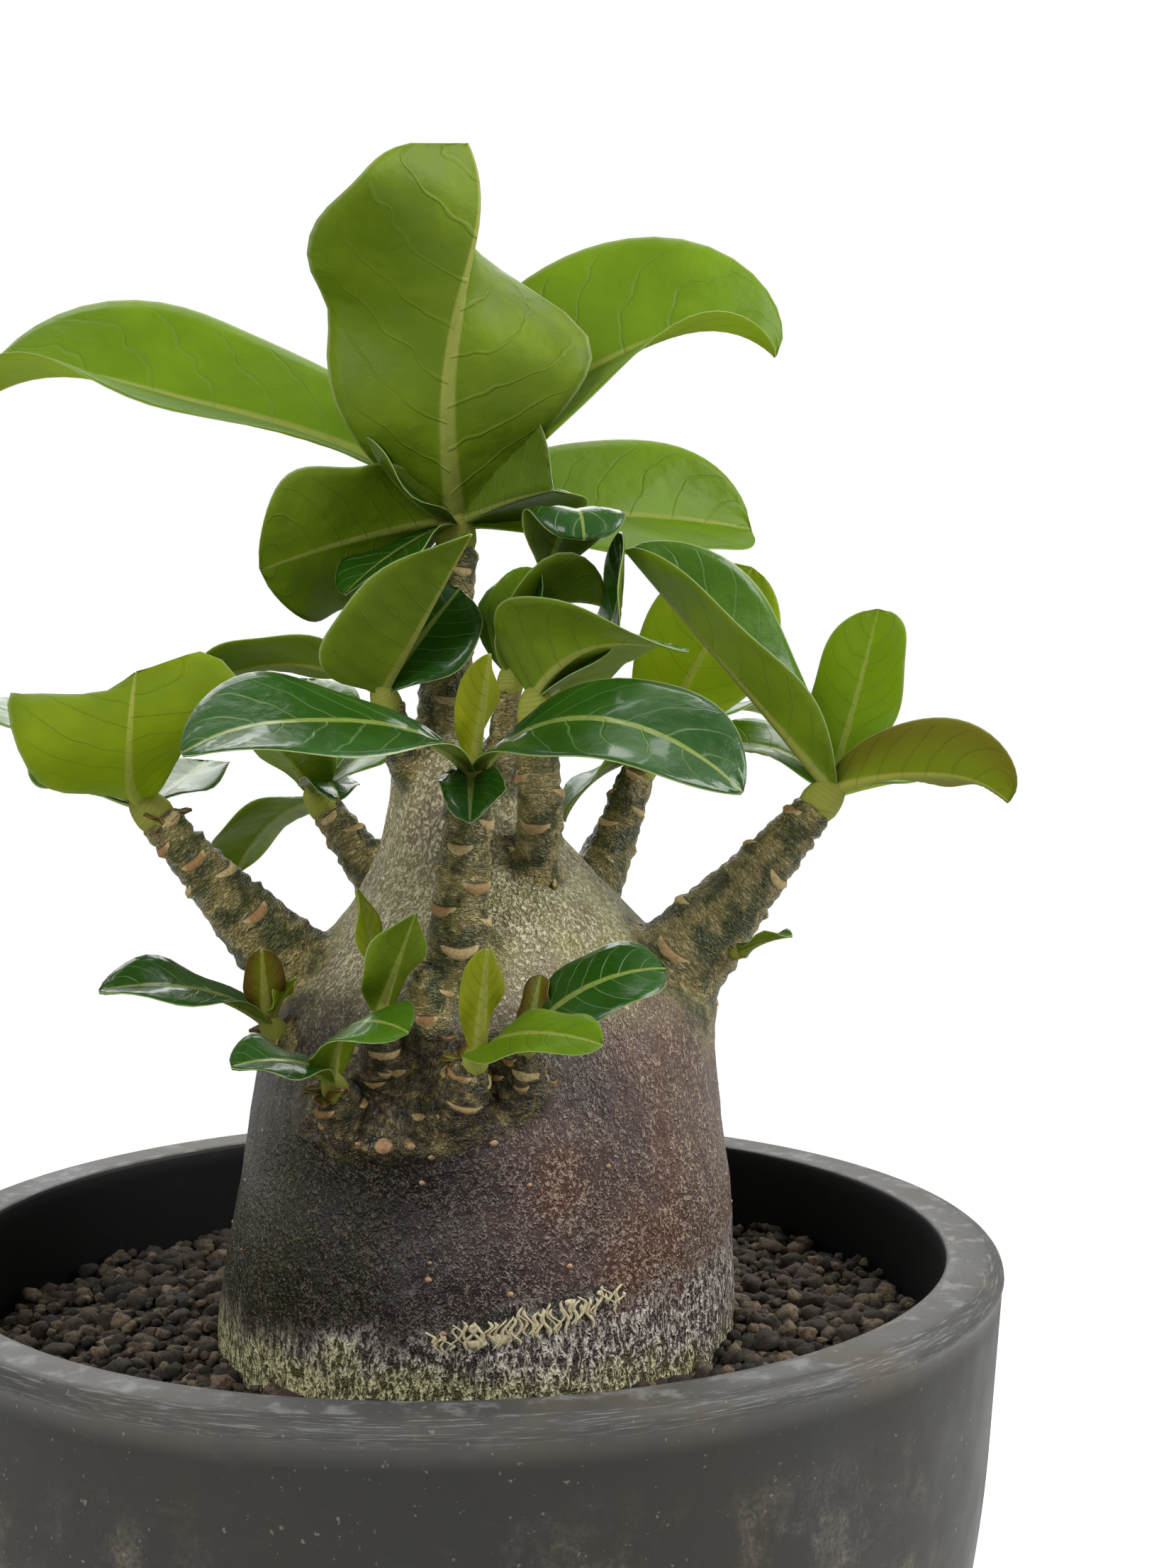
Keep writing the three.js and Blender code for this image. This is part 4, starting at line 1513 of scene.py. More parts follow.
@dataclass
class Soil:
    """The gritty mix: a plain bed with a layer of loose lumpy grains on it."""

    level: float = 167.5
    slope: float = 0.02
    trunk_radius: float = 59.0
    trunk_lean: float = 5.5
    outer_radius: float = 110.0
    spacing: float = 3.2

    BED_ROWS = 40
    TOP_ROWS = 28
    TOP_DROP = 1.2
    HOLE_GAP = 0.6
    WALL_GAP = 0.3
    WALL_TOP = 162
    HOLE_FLOOR = 150
    LAYER_LIFTS = (-0.6, 1.4)
    UPPER_SHARE = 0.5
    COARSE = 2.0

    def surface_height(self, x: float, y: float) -> float:
        """Give the bed's height at a place."""
        return self.level + self.slope * x + 1.8 * noise.noise(Vector((x / 26, y / 26, 0)))

    def bed(self, dirt: Material, pot: "Pot") -> None:
        """Make the bed that fills the pot, closed below and in the hole that holds the trunk.

        Args:
            dirt: its material.
            pot: the pot that it fills.
        """
        bm = bmesh.new()
        depths = np.linspace(self.WALL_TOP, pot.floor + self.WALL_GAP, self.BED_ROWS - self.TOP_ROWS)
        wall = [(pot.wall_radius(z) - pot.wall - self.WALL_GAP, z) for z in depths]
        hole = self.trunk_radius + self.HOLE_GAP

        def place(around: float, along: float) -> Vector:
            """Give the point at a place of the grid."""
            angle = 2 * math.pi * around
            step = round(along * self.BED_ROWS)
            if step <= self.TOP_ROWS:
                radius = hole + (self.outer_radius - hole) * step / self.TOP_ROWS
                lean = self.trunk_lean * (1 - step / self.TOP_ROWS)
                x, y = radius * math.cos(angle) + lean, radius * math.sin(angle)
                return Vector((x, y, self.surface_height(x, y) - self.TOP_DROP))
            radius, height = wall[step - self.TOP_ROWS - 1]
            return Vector((radius * math.cos(angle), radius * math.sin(angle), height))

        made = add_sheet(bm, 120, self.BED_ROWS, place)
        bmesh.ops.remove_doubles(bm, verts=made, dist=0.02)
        rims = [edge for edge in bm.edges if edge.is_boundary]
        top = [edge for edge in rims if edge.verts[0].co.z > pot.height / 2]
        bottom = [edge for edge in rims if edge.verts[0].co.z < pot.height / 2]
        bmesh.ops.contextual_create(bm, geom=bottom)
        well = bmesh.ops.extrude_edge_only(bm, edges=top)["geom"]
        for item in well:
            if isinstance(item, BMVert):
                item.co.z = self.HOLE_FLOOR
        lid = [edge for edge in bm.edges if edge.is_boundary]
        bmesh.ops.contextual_create(bm, geom=lid)
        bmesh.ops.recalc_face_normals(bm, faces=bm.faces)
        settle(finish_mesh(bm, "soil_bed", [dirt]), "soil_mix", "soil")

    def grains(self, grit: Material) -> None:
        """Make the loose grains, in a jittered grid of two layers.

        Args:
            grit: their material.
        """
        rng = random.Random(SEED + 3)
        heap = bmesh.new()
        steps = int(self.outer_radius / self.spacing) + 1
        for layer, lift in enumerate(self.LAYER_LIFTS):
            for i in range(-steps, steps + 1):
                for j in range(-steps, steps + 1):
                    x = (i + 0.5 * (j % 2) + 0.5 * layer + rng.uniform(-0.35, 0.35)) * self.spacing
                    y = (j * 0.87 + rng.uniform(-0.35, 0.35)) * self.spacing
                    size = 1.3 + 1.6 * rng.random() ** 2
                    if layer and rng.random() < self.UPPER_SHARE:
                        continue
                    if not self.has_room(x, y, size):
                        continue
                    height = self.surface_height(x, y) + lift + rng.uniform(-0.5, 0.5)
                    self.grain(heap, Vector((x, y, height)), size, rng)
        settle(finish_mesh(heap, "soil_grains", [grit]), "soil_mix")

    def has_room(self, x: float, y: float, size: float) -> bool:
        """Tell whether a grain fits between the trunk and the pot."""
        outside = math.hypot(x - self.trunk_lean, y) > self.trunk_radius + 0.5 * size
        return outside and math.hypot(x, y) < self.outer_radius - size

    @staticmethod
    def grain(heap: BMesh, middle: Vector, size: float, rng: random.Random) -> None:
        """Add one lumpy grain.

        Args:
            heap: the mesh that takes it.
            middle: its middle.
            size: its radius.
            rng: the heap's random numbers.
        """
        bm = bmesh.new()
        tone = bm.verts.layers.float.new("shade")
        squash = Matrix.Diagonal((rng.uniform(0.85, 1.25), rng.uniform(0.8, 1.1), rng.uniform(0.6, 0.95), 1))
        turn = Matrix.Rotation(rng.uniform(0, 6.3), 4, "Z") @ Matrix.Rotation(rng.uniform(-0.5, 0.5), 4, "X")
        detail = 2 if size > Soil.COARSE else 1
        made = bmesh.ops.create_icosphere(bm, subdivisions=detail, radius=1.0)["verts"]
        seed = Vector((rng.uniform(0, 90), rng.uniform(0, 90), rng.uniform(0, 90)))
        shade = rng.random()
        for vert in made:
            bulge = 1 + 0.5 * noise.noise(vert.co * 1.3 + seed) + 0.34 * noise.noise(vert.co * 2.9 + seed)
            vert.co = middle + (turn @ squash @ (vert.co * bulge)) * size
            vert[tone] = shade
        merge(heap, bm)


@dataclass
class Pot:
    """The round planter: a tapering wall that curves in like a bowl, with a thick flat rim."""

    height: float = 190
    rim_radius: float = 125
    wall: float = 13
    rim_round: float = 4
    draft: float = 0.068
    bowl_start: float = 150
    bowl_round: float = 300
    floor: float = 12
    drains: int = 5
    drain_radius: float = 6
    drain_circle: float = 38

    FOOT = 3
    GROOVE_DROP = 1.6
    GROOVE_DEPTH = 0.25
    SIDES = 160
    LIP = 0.8

    def wall_radius(self, height: float) -> float:
        """Give the outer wall's radius.

        Args:
            height: the height, below bowl_start in the part that curves in.

        Returns:
            The radius.
        """
        if height >= self.bowl_start:
            return self.rim_radius - self.draft * (self.height - height)
        start = self.rim_radius - self.draft * (self.height - self.bowl_start)
        lean = math.atan(self.draft)
        turn = math.asin(math.sin(lean) + (self.bowl_start - height) / self.bowl_round)
        return start - self.bowl_round * (math.cos(lean) - math.cos(turn))

    def profile(self) -> list[tuple[float, float]]:
        """Draw the wall's section, with a fine groove below the rim's rounded edge.

        Returns:
            Points as radius and height, from the base's middle round to the inner floor's.
        """
        outer = self.wall_radius(self.height)
        inner = outer - self.wall
        foot = self.wall_radius(self.FOOT)
        points = [(0.0, 0.0), (foot - 3.5, 0.0), (foot - 1.6, 0.7)]
        heights = np.linspace(self.FOOT, self.height - self.rim_round - 3.5, 46)
        points += [(self.wall_radius(z), z) for z in heights]
        groove = self.height - self.rim_round - self.GROOVE_DROP
        points.append((self.wall_radius(groove) - self.GROOVE_DEPTH, groove))
        points.append((self.wall_radius(groove + 1), groove + 1))
        for i in range(7):
            turn = math.radians(90 * i / 6)
            drop = self.rim_round * (1 - math.sin(turn))
            points.append((outer - self.rim_round * (1 - math.cos(turn)), self.height - drop))
        rim = ((outer - 6.5, 0), (inner + 3, 0), (inner + 1.2, 0.1), (inner + 0.35, 0.5), (inner, 1.4))
        points += [(radius, self.height - drop) for radius, drop in rim]
        heights = np.linspace(self.height - 5, self.floor + 3, 30)
        points += [(self.wall_radius(z) - self.wall, z) for z in heights]
        points += [(self.wall_radius(self.floor) - self.wall - 2, self.floor), (0.0, self.floor)]
        return points

    def build(self, resin: Material, lining: Material) -> None:
        """Turn the wall's section round the axis and cut the drain holes.

        Args:
            resin: the outer wall's and the rim's material.
            lining: the inner wall's material, near-black with painted shade.
        """
        bm = bmesh.new()
        verts = [bm.verts.new((radius, 0, height)) for radius, height in self.profile()]
        edges = [bm.edges.new(pair) for pair in zip(verts, verts[1:])]
        bmesh.ops.spin(
            bm, geom=[*verts, *edges], axis=(0, 0, 1), cent=(0, 0, 0), angle=2 * math.pi, steps=self.SIDES,
            use_merge=True,
        )
        bmesh.ops.remove_doubles(bm, verts=bm.verts, dist=0.01)
        bmesh.ops.recalc_face_normals(bm, faces=bm.faces)
        # The inner wall takes a near-black material that paints the shade inside the pot.
        for face in bm.faces:
            middle = face.calc_center_median()
            inwards = face.normal.xy.dot(middle.xy) < 0
            face.material_index = int(inwards and self.floor - 1 < middle.z < self.height - self.LIP)
        piece = finish_mesh(bm, "planter", [resin, lining])
        cutter = self.drain_cutter()
        cut = piece.modifiers.new("drains", "BOOLEAN")
        cut.object = cutter
        cut.solver = "EXACT"
        apply_modifiers(piece)
        bpy.data.objects.remove(cutter)
        settle(piece, "pot_resin", "pot")

    def drain_cutter(self) -> Piece:
        """Make the pins that cut the drain holes.

        Returns:
            All the pins as one object, which the caller removes.
        """
        bm = bmesh.new()
        for i in range(self.drains):
            spot = compass(360 * i / self.drains) * self.drain_circle
            bmesh.ops.create_cone(
                bm, cap_ends=True, segments=32, radius1=self.drain_radius, radius2=self.drain_radius,
                depth=4 * self.floor, matrix=Matrix.Translation(spot),
            )
        return finish_mesh(bm, "drain_pins", [])


@dataclass(frozen=True)
class LeafFinish:
    """The leaf's green: veined, glossy above and matte below, and lit through."""

    name: str
    face: LeafFace
    young: Colour
    grown: Colour
    old: Colour
    glow: Colour
    vein: Colour
    rib: Colour
    roughness: float
    vein_strength: float
    clear: float
    coat: float
    old_rib: Colour = "#5f7a35"
    margin: Colour = "#a9b878"
    flush: Colour = "#6b4a1e"
    old_glow: Colour = "#5f8a10"
    flush_glow: Colour = "#8a5a20"

    def material(self) -> Material:
        """Build the material.

        Returns:
            The material.
        """
        shader = Shader(self.name)
        chart = shader.chart()
        across, along = shader.from_middle(chart["X"]), chart["Y"]
        out = shader.math("ABSOLUTE", across)
        age, blush, span = (shader.attribute(key) for key in LEAF_LAYERS)
        place = shader.place()
        patches = shader.noise(place, 1 / 14, 3)
        vein = self.vein_mask(shader, across, out, along, place)
        rib = self.rib_mask(shader, along, span)
        flush = shader.times(blush, shader.step(out, 0.1, 1.0, 0.45, 1.0))
        base = self.blade(shader, age, patches, vein)
        base = shader.mix(flush, base, self.flush)
        base = shader.mix(rib, base, shader.mix(shader.step(age, 0.5, 1.0, 0.0, 0.6), self.rib, self.old_rib))
        base = shader.mix(shader.times(shader.step(out, 0.965, 0.995), 0.75), base, self.margin)
        relief = shader.times(vein, -0.9 if self.face is LeafFace.UPPER else 0.9)
        relief = shader.times_plus(shader.noise(place, 2.2, 3), 0.35, relief)
        relief = shader.times_plus(shader.noise(place, 1 / 5, 2), 2.4, relief)
        normal = shader.bump(relief, 0.35, 0.7)
        uneven = shader.step(patches, 0.3, 0.75, self.roughness - 0.06, self.roughness + 0.08)
        rough = shader.math("ADD", uneven, shader.step(age, 0.4, 1.0, 0.2, 0.0))
        coat = shader.step(age, 0.4, 1.0, 0.2 * self.coat, self.coat) if self.coat else 0.0
        surface = shader.surface(
            Base_Color=base, Roughness=rough, Normal=normal, Specular_IOR_Level=0.3, Coat_Weight=coat,
            Coat_Roughness=0.1,
        )
        glow = shader.mix(shader.step(age, 0.4, 1.0, 0.0, 0.8), self.glow, self.old_glow)
        glow = shader.mix(shader.times(rib, 0.5), glow, self.rib)
        glow = shader.mix(flush, glow, self.flush_glow)
        through = shader.node("BsdfTranslucent", {"Color": glow, "Normal": normal}).outputs[0]
        clear = shader.step(age, 0.4, 1.0, self.clear, 0.3 * self.clear)
        return shader.finish(shader.node("MixShader", {0: clear, 1: surface, 2: through}).outputs[0])

    def blade(self, shader: Shader, age: Socket, patches: Socket, vein: Socket) -> Socket:
        """Give the blade's own green, by age and in soft patches, with its side veins.

        Args:
            shader: the material so far.
            age: the leaf's age.
            patches: broad cloudy noise.
            vein: the veins' mask.

        Returns:
            The colour's socket.
        """
        base = shader.ramp(age, (0.1, self.young), (0.5, self.grown), (1.0, self.old))
        lighter = shader.mix(1.0, base, (1.35, 1.3, 1.2, 1), "MULTIPLY")
        base = shader.mix(shader.step(patches, 0.35, 0.7), base, lighter)
        drawn = shader.step(age, 0.2, 0.9, 0.3 * self.vein_strength, self.vein_strength)
        return shader.mix(shader.times(vein, drawn), base, self.vein)

    @staticmethod
    def vein_mask(shader: Shader, across: Socket, out: Socket, along: Socket, place: Socket) -> Socket:
        """Draw the side veins, which leave the midrib and bend towards the tip.

        Args:
            shader: the material so far.
            across: the place from -1 to 1 across the blade.
            out: the same from 0 at the midrib to 1 at a margin.
            along: the place from 0 at the root to 1 at the tip.
            place: the coordinates, for the veins' wander.

        Returns:
            A socket that is 1 on a vein.
        """
        bend = shader.times_plus(shader.times(out, out), 0.13, shader.times(out, 0.1))
        stagger = shader.times(shader.math("SIGN", across), 0.028)
        wander = shader.times_plus(shader.noise(place, 1 / 9, 1), 0.07, -0.035)
        line = shader.math("ADD", shader.math("SUBTRACT", along, bend), shader.math("ADD", stagger, wander))
        part = shader.math("FRACT", shader.times(line, float(Leaf.VEIN_PAIRS)))
        off = shader.math("ABSOLUTE", shader.math("SUBTRACT", part, 0.5))
        thin = shader.step(off, 0.012, 0.055, 1.0, 0.0)
        fade = shader.step(out, 0.8, 0.97, 1.0, 0.0)
        return shader.times(thin, fade)

    @staticmethod
    def rib_mask(shader: Shader, along: Socket, span: Socket) -> Socket:
        """Draw the pale midrib, which narrows to the tip.

        Args:
            shader: the material so far.
            along: the place from 0 at the root to 1 at the tip.
            span: the way from the midrib in millimetres, less on a large leaf.

        Returns:
            A socket that is 1 on the midrib.
        """
        width = shader.times_plus(along, -1.6, 2.0)
        share = shader.math("DIVIDE", span, width)
        return shader.step(share, 0.65, 1.15, 1.0, 0.0)


UPPER_LEAF = LeafFinish(
    "leaf_upper", LeafFace.UPPER, young="#9ca014", grown="#5a840a", old="#1e4a08", glow="#b6ca00",
    vein="#7fa055", rib="#a8b255", roughness=0.34, vein_strength=0.36, clear=0.5, coat=0.45,
)
UNDER_LEAF = LeafFinish(
    "leaf_under", LeafFace.UNDER, young="#a3a61e", grown="#7b9410", old="#52680e", glow="#b8c800",
    vein="#86922c", rib="#b9bc58", roughness=0.5, vein_strength=0.4, clear=0.5, coat=0.0,
)


@dataclass(frozen=True)
class MarginFinish:
    """The pale rim of every leaf."""

    name: str = "leaf_margin"
    pale: Colour = "#a3b56c"
    green: Colour = "#7f9d48"
    dry: Colour = "#7a4a24"

    def material(self) -> Material:
        """Build the material.

        Returns:
            The material.
        """
        shader = Shader(self.name)
        spots = shader.noise(shader.place(), 0.6, 2)
        base = shader.mix(spots, self.pale, self.green)
        base = shader.mix(shader.times(shader.attribute("blush"), 0.8), base, self.dry)
        return shader.finish(shader.surface(Base_Color=base, Roughness=0.45))


@dataclass(frozen=True)
class SkinFinish:
    """The trunk's waxy skin: dark with fine flecks, khaki on top, mossy stems and a pale net at the soil."""

    name: str = "trunk_skin"
    # ground and fleck run from the left to the right: olive to russet, and lighter to the right as painted
    # light from the right.
    ground: Stops = (
        (0.2, "#211e0d"), (0.36, "#1a1410"), (0.52, "#2a2123"), (0.66, "#453331"), (0.8, "#52301f"),
        (1.0, "#4e3d35"),
    )
    fleck: Stops = ((0.2, "#5c5536"), (0.42, "#5f5449"), (0.62, "#7d6f64"), (0.85, "#b39a82"))
    knot: Stops = ((0.34, "#16130a"), (0.46, "#3f371b"), (0.55, "#5b4f34"), (0.66, "#97844f"))
    khaki: Colour = "#7d7245"
    green_khaki: Colour = "#868c40"
    flushed: Colour = "#665347"
    high_fleck: Colour = "#e2dab4"
    bark: Colour = "#7c7036"
    moss: Colour = "#383d16"
    ridge: Colour = "#c8ba84"
    moss_ridge: Colour = "#75753f"
    foot_brown: Colour = "#3b2f30"
    foot_green: Colour = "#55542a"
    silver: Colour = "#d3c9bc"
    cream: Colour = "#dbd5a4"
    band: Colour = "#17180d"

    def material(self) -> Material:
        """Build the material.

        Returns:
            The material.
        """
        shader = Shader(self.name)
        axes = shader.split(shader.place())
        wander = shader.noise(shader.place(), 1 / 9, 3)
        level = shader.math("ADD", axes["Z"], shader.times_plus(wander, 18.0, -9.0))
        clouds = shader.noise(shader.place((1, 1, 0.5), (40, 0, 12)), 1 / 17, 3)
        # side runs from the left to the right; the skin's colours follow it, with painted light that makes
        # the right side lighter.
        side = shader.times_plus(axes["X"], 1 / 120, shader.times_plus(clouds, 0.7, 0.15))
        high = shader.step(level, 240, 264)
        stem, burl = shader.attribute("stem"), shader.attribute("burl")
        flecks = self.flecks(shader, high)
        base = self.side_skin(shader, side, high, flecks)
        base, net = self.foot(shader, base, axes["X"], level)
        bark, wrinkles = self.stem_skin(shader, axes)
        base = shader.mix(stem, base, bark)
        base = shader.mix(shader.times(burl, 0.9), base, self.knots(shader))
        relief = shader.times_plus(net, 1.6, flecks)
        relief = shader.times_plus(shader.times(stem, wrinkles), 1.2, relief)
        relief = shader.times_plus(shader.noise(shader.place((1, 1, 0.6)), 0.6, 4), 2.2, relief)
        swells = shader.noise(shader.place((1, 1, 0.6)), 1 / 2.6, 3, 0.5, 0.8)
        relief = shader.times_plus(shader.times(high, swells), 4.5, relief)
        normal = shader.bump(relief, 0.36, 1.0)
        rough = shader.step(wander, 0.3, 0.7, 0.34, 0.48)
        return shader.finish(shader.surface(
            Base_Color=base, Roughness=rough, Normal=normal, Coat_Weight=0.25, Coat_Roughness=0.3,
            Coat_Normal=normal,
        ))

    def side_skin(self, shader: Shader, side: Socket, high: Socket, flecks: Socket) -> Socket:
        """Give the trunk's colour, from olive on the left to russet on the right, with its flecks, darker on
        the left and lighter on the right as painted light from the right.

        Args:
            shader: the material so far.
            side: the place from 0 at the left to 1 at the right.
            high: the share of the khaki top.
            flecks: the flecks' mask.

        Returns:
            The colour's socket.
        """
        khaki = shader.mix(shader.step(side, 0.5, 0.8, 0.0, 0.4), self.khaki, self.green_khaki)
        flushed = shader.times(high, shader.step(shader.noise(shader.place(), 1 / 13, 3), 0.46, 0.62))
        ground = shader.mix(high, shader.ramp(side, *self.ground), khaki)
        ground = shader.mix(shader.times(flushed, 0.6), ground, self.flushed)
        fleck = shader.mix(high, shader.ramp(side, *self.fleck), self.high_fleck)
        return shader.mix(shader.times(flecks, 0.85), ground, fleck)

    def foot(self, shader: Shader, base: Socket, east: Socket, level: Socket) -> tuple[Socket, Socket]:
        """Add the net of wavy upright ridges above the soil, silver at its top and cream at the soil.

        Args:
            shader: the material so far.
            base: the colour above the net.
            east: the place towards +X.
            level: the uneven height.

        Returns:
            The colour and the net's mask.
        """
        slanted = shader.times_plus(east, -0.13, level)
        low = shader.step(slanted, 190, 178)
        dense = shader.step(east, -45, 0, 0.24, 0.15)
        strokes = shader.threads(shader.place((1, 1, 0.42)), 0.85, dense, 0.6)
        broken = shader.noise(shader.place((1, 1, 0.5)), 0.7, 3)
        net = shader.times(shader.step(broken, 0.36, 0.5), strokes)
        net = shader.times(net, low)
        green = shader.step(shader.times_plus(east, 0.06, level), 181, 171)
        ground = shader.mix(green, self.foot_brown, self.foot_green)
        base = shader.mix(shader.times(low, 0.85), base, ground)
        base = shader.mix(shader.times(shader.attribute("band"), 0.85), base, self.band)
        tone = shader.mix(green, self.silver, self.cream)
        return shader.mix(net, base, tone), net

    def stem_skin(self, shader: Shader, axes: Sockets) -> tuple[Socket, Socket]:
        """Give the stems' skin, with fine rings round them and mossy patches.

        Args:
            shader: the material so far.
            axes: the coordinates.

        Returns:
            The colour and the rings' mask.
        """
        x, y = (shader.times(axes[key], 0.3) for key in ("X", "Y"))
        ringed = shader.node("CombineXYZ", {0: shader.attribute("reach"), 1: x, 2: y}).outputs[0]
        wrinkles = shader.threads(ringed, 1.7, 0.14, 0.4)
        mossy = shader.step(shader.noise(shader.place(), 1 / 6, 4, 0.55), 0.42, 0.6)
        ground = shader.mix(mossy, self.bark, self.moss)
        pale = shader.mix(mossy, self.ridge, self.moss_ridge)
        return shader.mix(shader.times(wrinkles, 0.6), ground, pale), wrinkles

    def knots(self, shader: Shader) -> Socket:
        """Give the burl's colour: dark olive brown, with tan warts."""
        return shader.ramp(shader.noise(shader.place(), 1 / 2.2, 5, 0.6), *self.knot)

    @staticmethod
    def flecks(shader: Shader, high: Socket) -> Socket:
        """Draw the dense fine wavy flecks.

        Args:
            shader: the material so far.
            high: the share of the khaki top, where they are broader.

        Returns:
            A socket that is 1 on a fleck.
        """
        clumps = shader.noise(shader.place((1, 1, 0.6)), 1 / 4, 3)
        width = shader.step(clumps, 0.3, 0.7, 0.09, 0.19)
        width = shader.times_plus(high, 0.07, width)
        lines = shader.threads(shader.place((1, 1, 0.6)), 1.2, width, 0.6)
        broken = shader.noise(shader.place((1, 1, 0.8), (7, 3, 5)), 1.1, 1)
        return shader.times(lines, shader.step(broken, 0.36, 0.56))


@dataclass(frozen=True)
class CorkFinish:
    """Dry cork: pale at its rim, tan or orange in its middle, with a dark upper lip."""

    name: str
    rim: Colour
    middle: Colour
    crack: Colour
    lip: float
    grime: Colour = "#6b4a2c"

    def material(self) -> Material:
        """Build the material.

        Returns:
            The material.
        """
        shader = Shader(self.name)
        chart = shader.chart()
        across, level = (shader.math("ABSOLUTE", shader.from_middle(chart[key])) for key in ("X", "Y"))
        out = shader.math("MAXIMUM", across, level)
        grain = shader.noise(shader.place(), 1.6, 4)
        tone = shader.mix(shader.attribute("shade"), self.rim, self.middle)
        base = shader.mix(shader.step(out, 0.45, 0.9), tone, self.rim)
        base = shader.mix(shader.step(grain, 0.45, 0.7, 0.0, 0.5), base, self.grime)
        lip = shader.step(chart["Y"], 0.72, 0.86, 0.0, self.lip)
        base = shader.mix(lip, base, self.crack)
        normal = shader.bump(grain, 0.2, 0.8)
        return shader.finish(shader.surface(Base_Color=base, Roughness=0.75, Normal=normal))


SCAR_CORK = CorkFinish("scar_cork", rim="#b9a674", middle="#8a6334", crack="#1e160c", lip=0.85)
DOT_CORK = CorkFinish("dot_cork", rim="#bfa583", middle="#b08258", crack="#5a3a20", lip=0.0)
CREAM_CORK = CorkFinish("cream_cork", rim="#d8cfae", middle="#cbbf98", crack="#5a4a2c", lip=0.0)


@dataclass(frozen=True)
class GritFinish:
    """Porous brown grit, each grain in its own tone, with painted shade in its pits."""

    name: str
    dark: Colour = "#211b14"
    middle: Colour = "#45392a"
    light: Colour = "#7d6b54"
    pore_shade: Colour = "#17130f"
    toned: bool = True

    def material(self) -> Material:
        """Build the material.

        Returns:
            The material.
        """
        shader = Shader(self.name)
        pores = shader.noise(shader.place(), 0.9, 5, 0.7)
        tone = shader.attribute("shade") if self.toned else 0.1
        base = shader.ramp(tone, (0.0, self.dark), (0.55, self.middle), (1.0, self.light))
        # Painted shade: the pits, where the bump is lowest, are darkened.
        base = shader.mix(shader.step(pores, 0.35, 0.6, 0.75, 0.0), base, self.pore_shade)
        normal = shader.bump(pores, 0.9, 1.0)
        return shader.finish(shader.surface(Base_Color=base, Roughness=0.92, Normal=normal))


@dataclass(frozen=True)
class ResinFinish:
    """Matte dark grey resin with a scuffed rim and faint stains, and painted shade that darkens the wall
    below the rim.
    """

    name: str = "pot_resin"
    grey: Colour = "#424140"
    stain: Colour = "#504b42"
    scuff: Colour = "#939494"
    smear: Colour = "#6a6864"
    nick: Colour = "#9a968c"
    # shade is painted shade, mixed into the wall below the rim.
    shade: Colour = "#0b0a08"
    chalk: Colour = "#857c6a"
    rim_height: float = 186

    def material(self) -> Material:
        """Build the material.

        Returns:
            The material.
        """
        shader = Shader(self.name)
        height = shader.split(shader.place())["Z"]
        clouds = shader.noise(shader.place((1, 1, 0.6)), 1 / 26, 5, 0.6)
        base = shader.mix(shader.step(clouds, 0.42, 0.68), self.grey, self.stain)
        fine = shader.noise(shader.place(), 1.1, 3)
        smears = shader.noise(shader.place((0.35, 0.35, 1)), 1 / 6, 5, 0.65)
        base = shader.mix(shader.step(smears, 0.56, 0.75, 0.0, 0.35), base, self.smear)
        streaks = shader.noise(shader.place((0.1, 0.1, 3.2)), 1.4, 4, 0.6)
        rim = shader.step(height, self.rim_height - 2, self.rim_height + 1)
        worn = shader.times(rim, shader.step(streaks, 0.5, 0.68, 0.0, 0.4))
        base = shader.mix(worn, base, self.scuff)
        base = self.wall(shader, base, height, fine)
        pits = shader.noise(shader.place(), 1 / 1.5, 3)
        nicks = shader.times(shader.step(pits, 0.68, 0.74), 0.35)
        base = shader.mix(nicks, base, self.nick)
        normal = shader.bump(shader.math("ADD", fine, smears), 0.12, 0.5)
        rough = shader.step(clouds, 0.35, 0.7, 0.5, 0.66)
        return shader.finish(shader.surface(
            Base_Color=base, Roughness=rough, Normal=normal, Specular_IOR_Level=0.35,
        ))

    def wall(self, shader: Shader, base: Socket, height: Socket, fine: Socket) -> Socket:
        """Darken the wall below the rim with painted shade and add its chalky stains.

        Args:
            shader: the material so far.
            base: the rim's colour.
            height: the height in millimetres.
            fine: fine noise.

        Returns:
            The colour's socket.
        """
        # Painted shade: the wall below the rim is darkened towards the shade colour.
        below = shader.step(height, self.rim_height - 1, self.rim_height - 6)
        base = shader.mix(shader.times(below, 0.68), base, self.shade)
        blots = shader.noise(shader.place((1, 1, 0.7), (3, 9, 0)), 1 / 12, 7, 0.72)
        areas = shader.step(shader.noise(shader.place((1, 1, 0.5), (0, 5, 8)), 1 / 45, 2), 0.4, 0.62)
        chalk = shader.times(shader.step(blots, 0.45, 0.75, 0.0, 0.5), shader.step(fine, 0.25, 0.6))
        lower = shader.step(height, self.rim_height - 8, self.rim_height - 26)
        chalk = shader.times(shader.times(chalk, areas), lower)
        return shader.mix(chalk, base, self.chalk)


@dataclass(frozen=True)
class InnerWallShadeFinish:
    """The pot's near-black inner wall: the resin's own dark colour, darkened further with painted shade
    inside the pot.
    """

    name: str = "pot_lining"
    # black is the resin's dark colour with painted shade inside the pot.
    black: Colour = "#090909"
    dust: Colour = "#3a3733"

    def material(self) -> Material:
        """Build the material.

        Returns:
            The material.
        """
        shader = Shader(self.name)
        dust = shader.noise(shader.place(), 1 / 3, 4)
        base = shader.mix(shader.step(dust, 0.6, 0.8, 0.0, 0.12), self.black, self.dust)
        normal = shader.bump(dust, 0.1, 0.4)
        return shader.finish(shader.surface(
            Base_Color=base, Roughness=0.5, Normal=normal, Specular_IOR_Level=0.2,
        ))


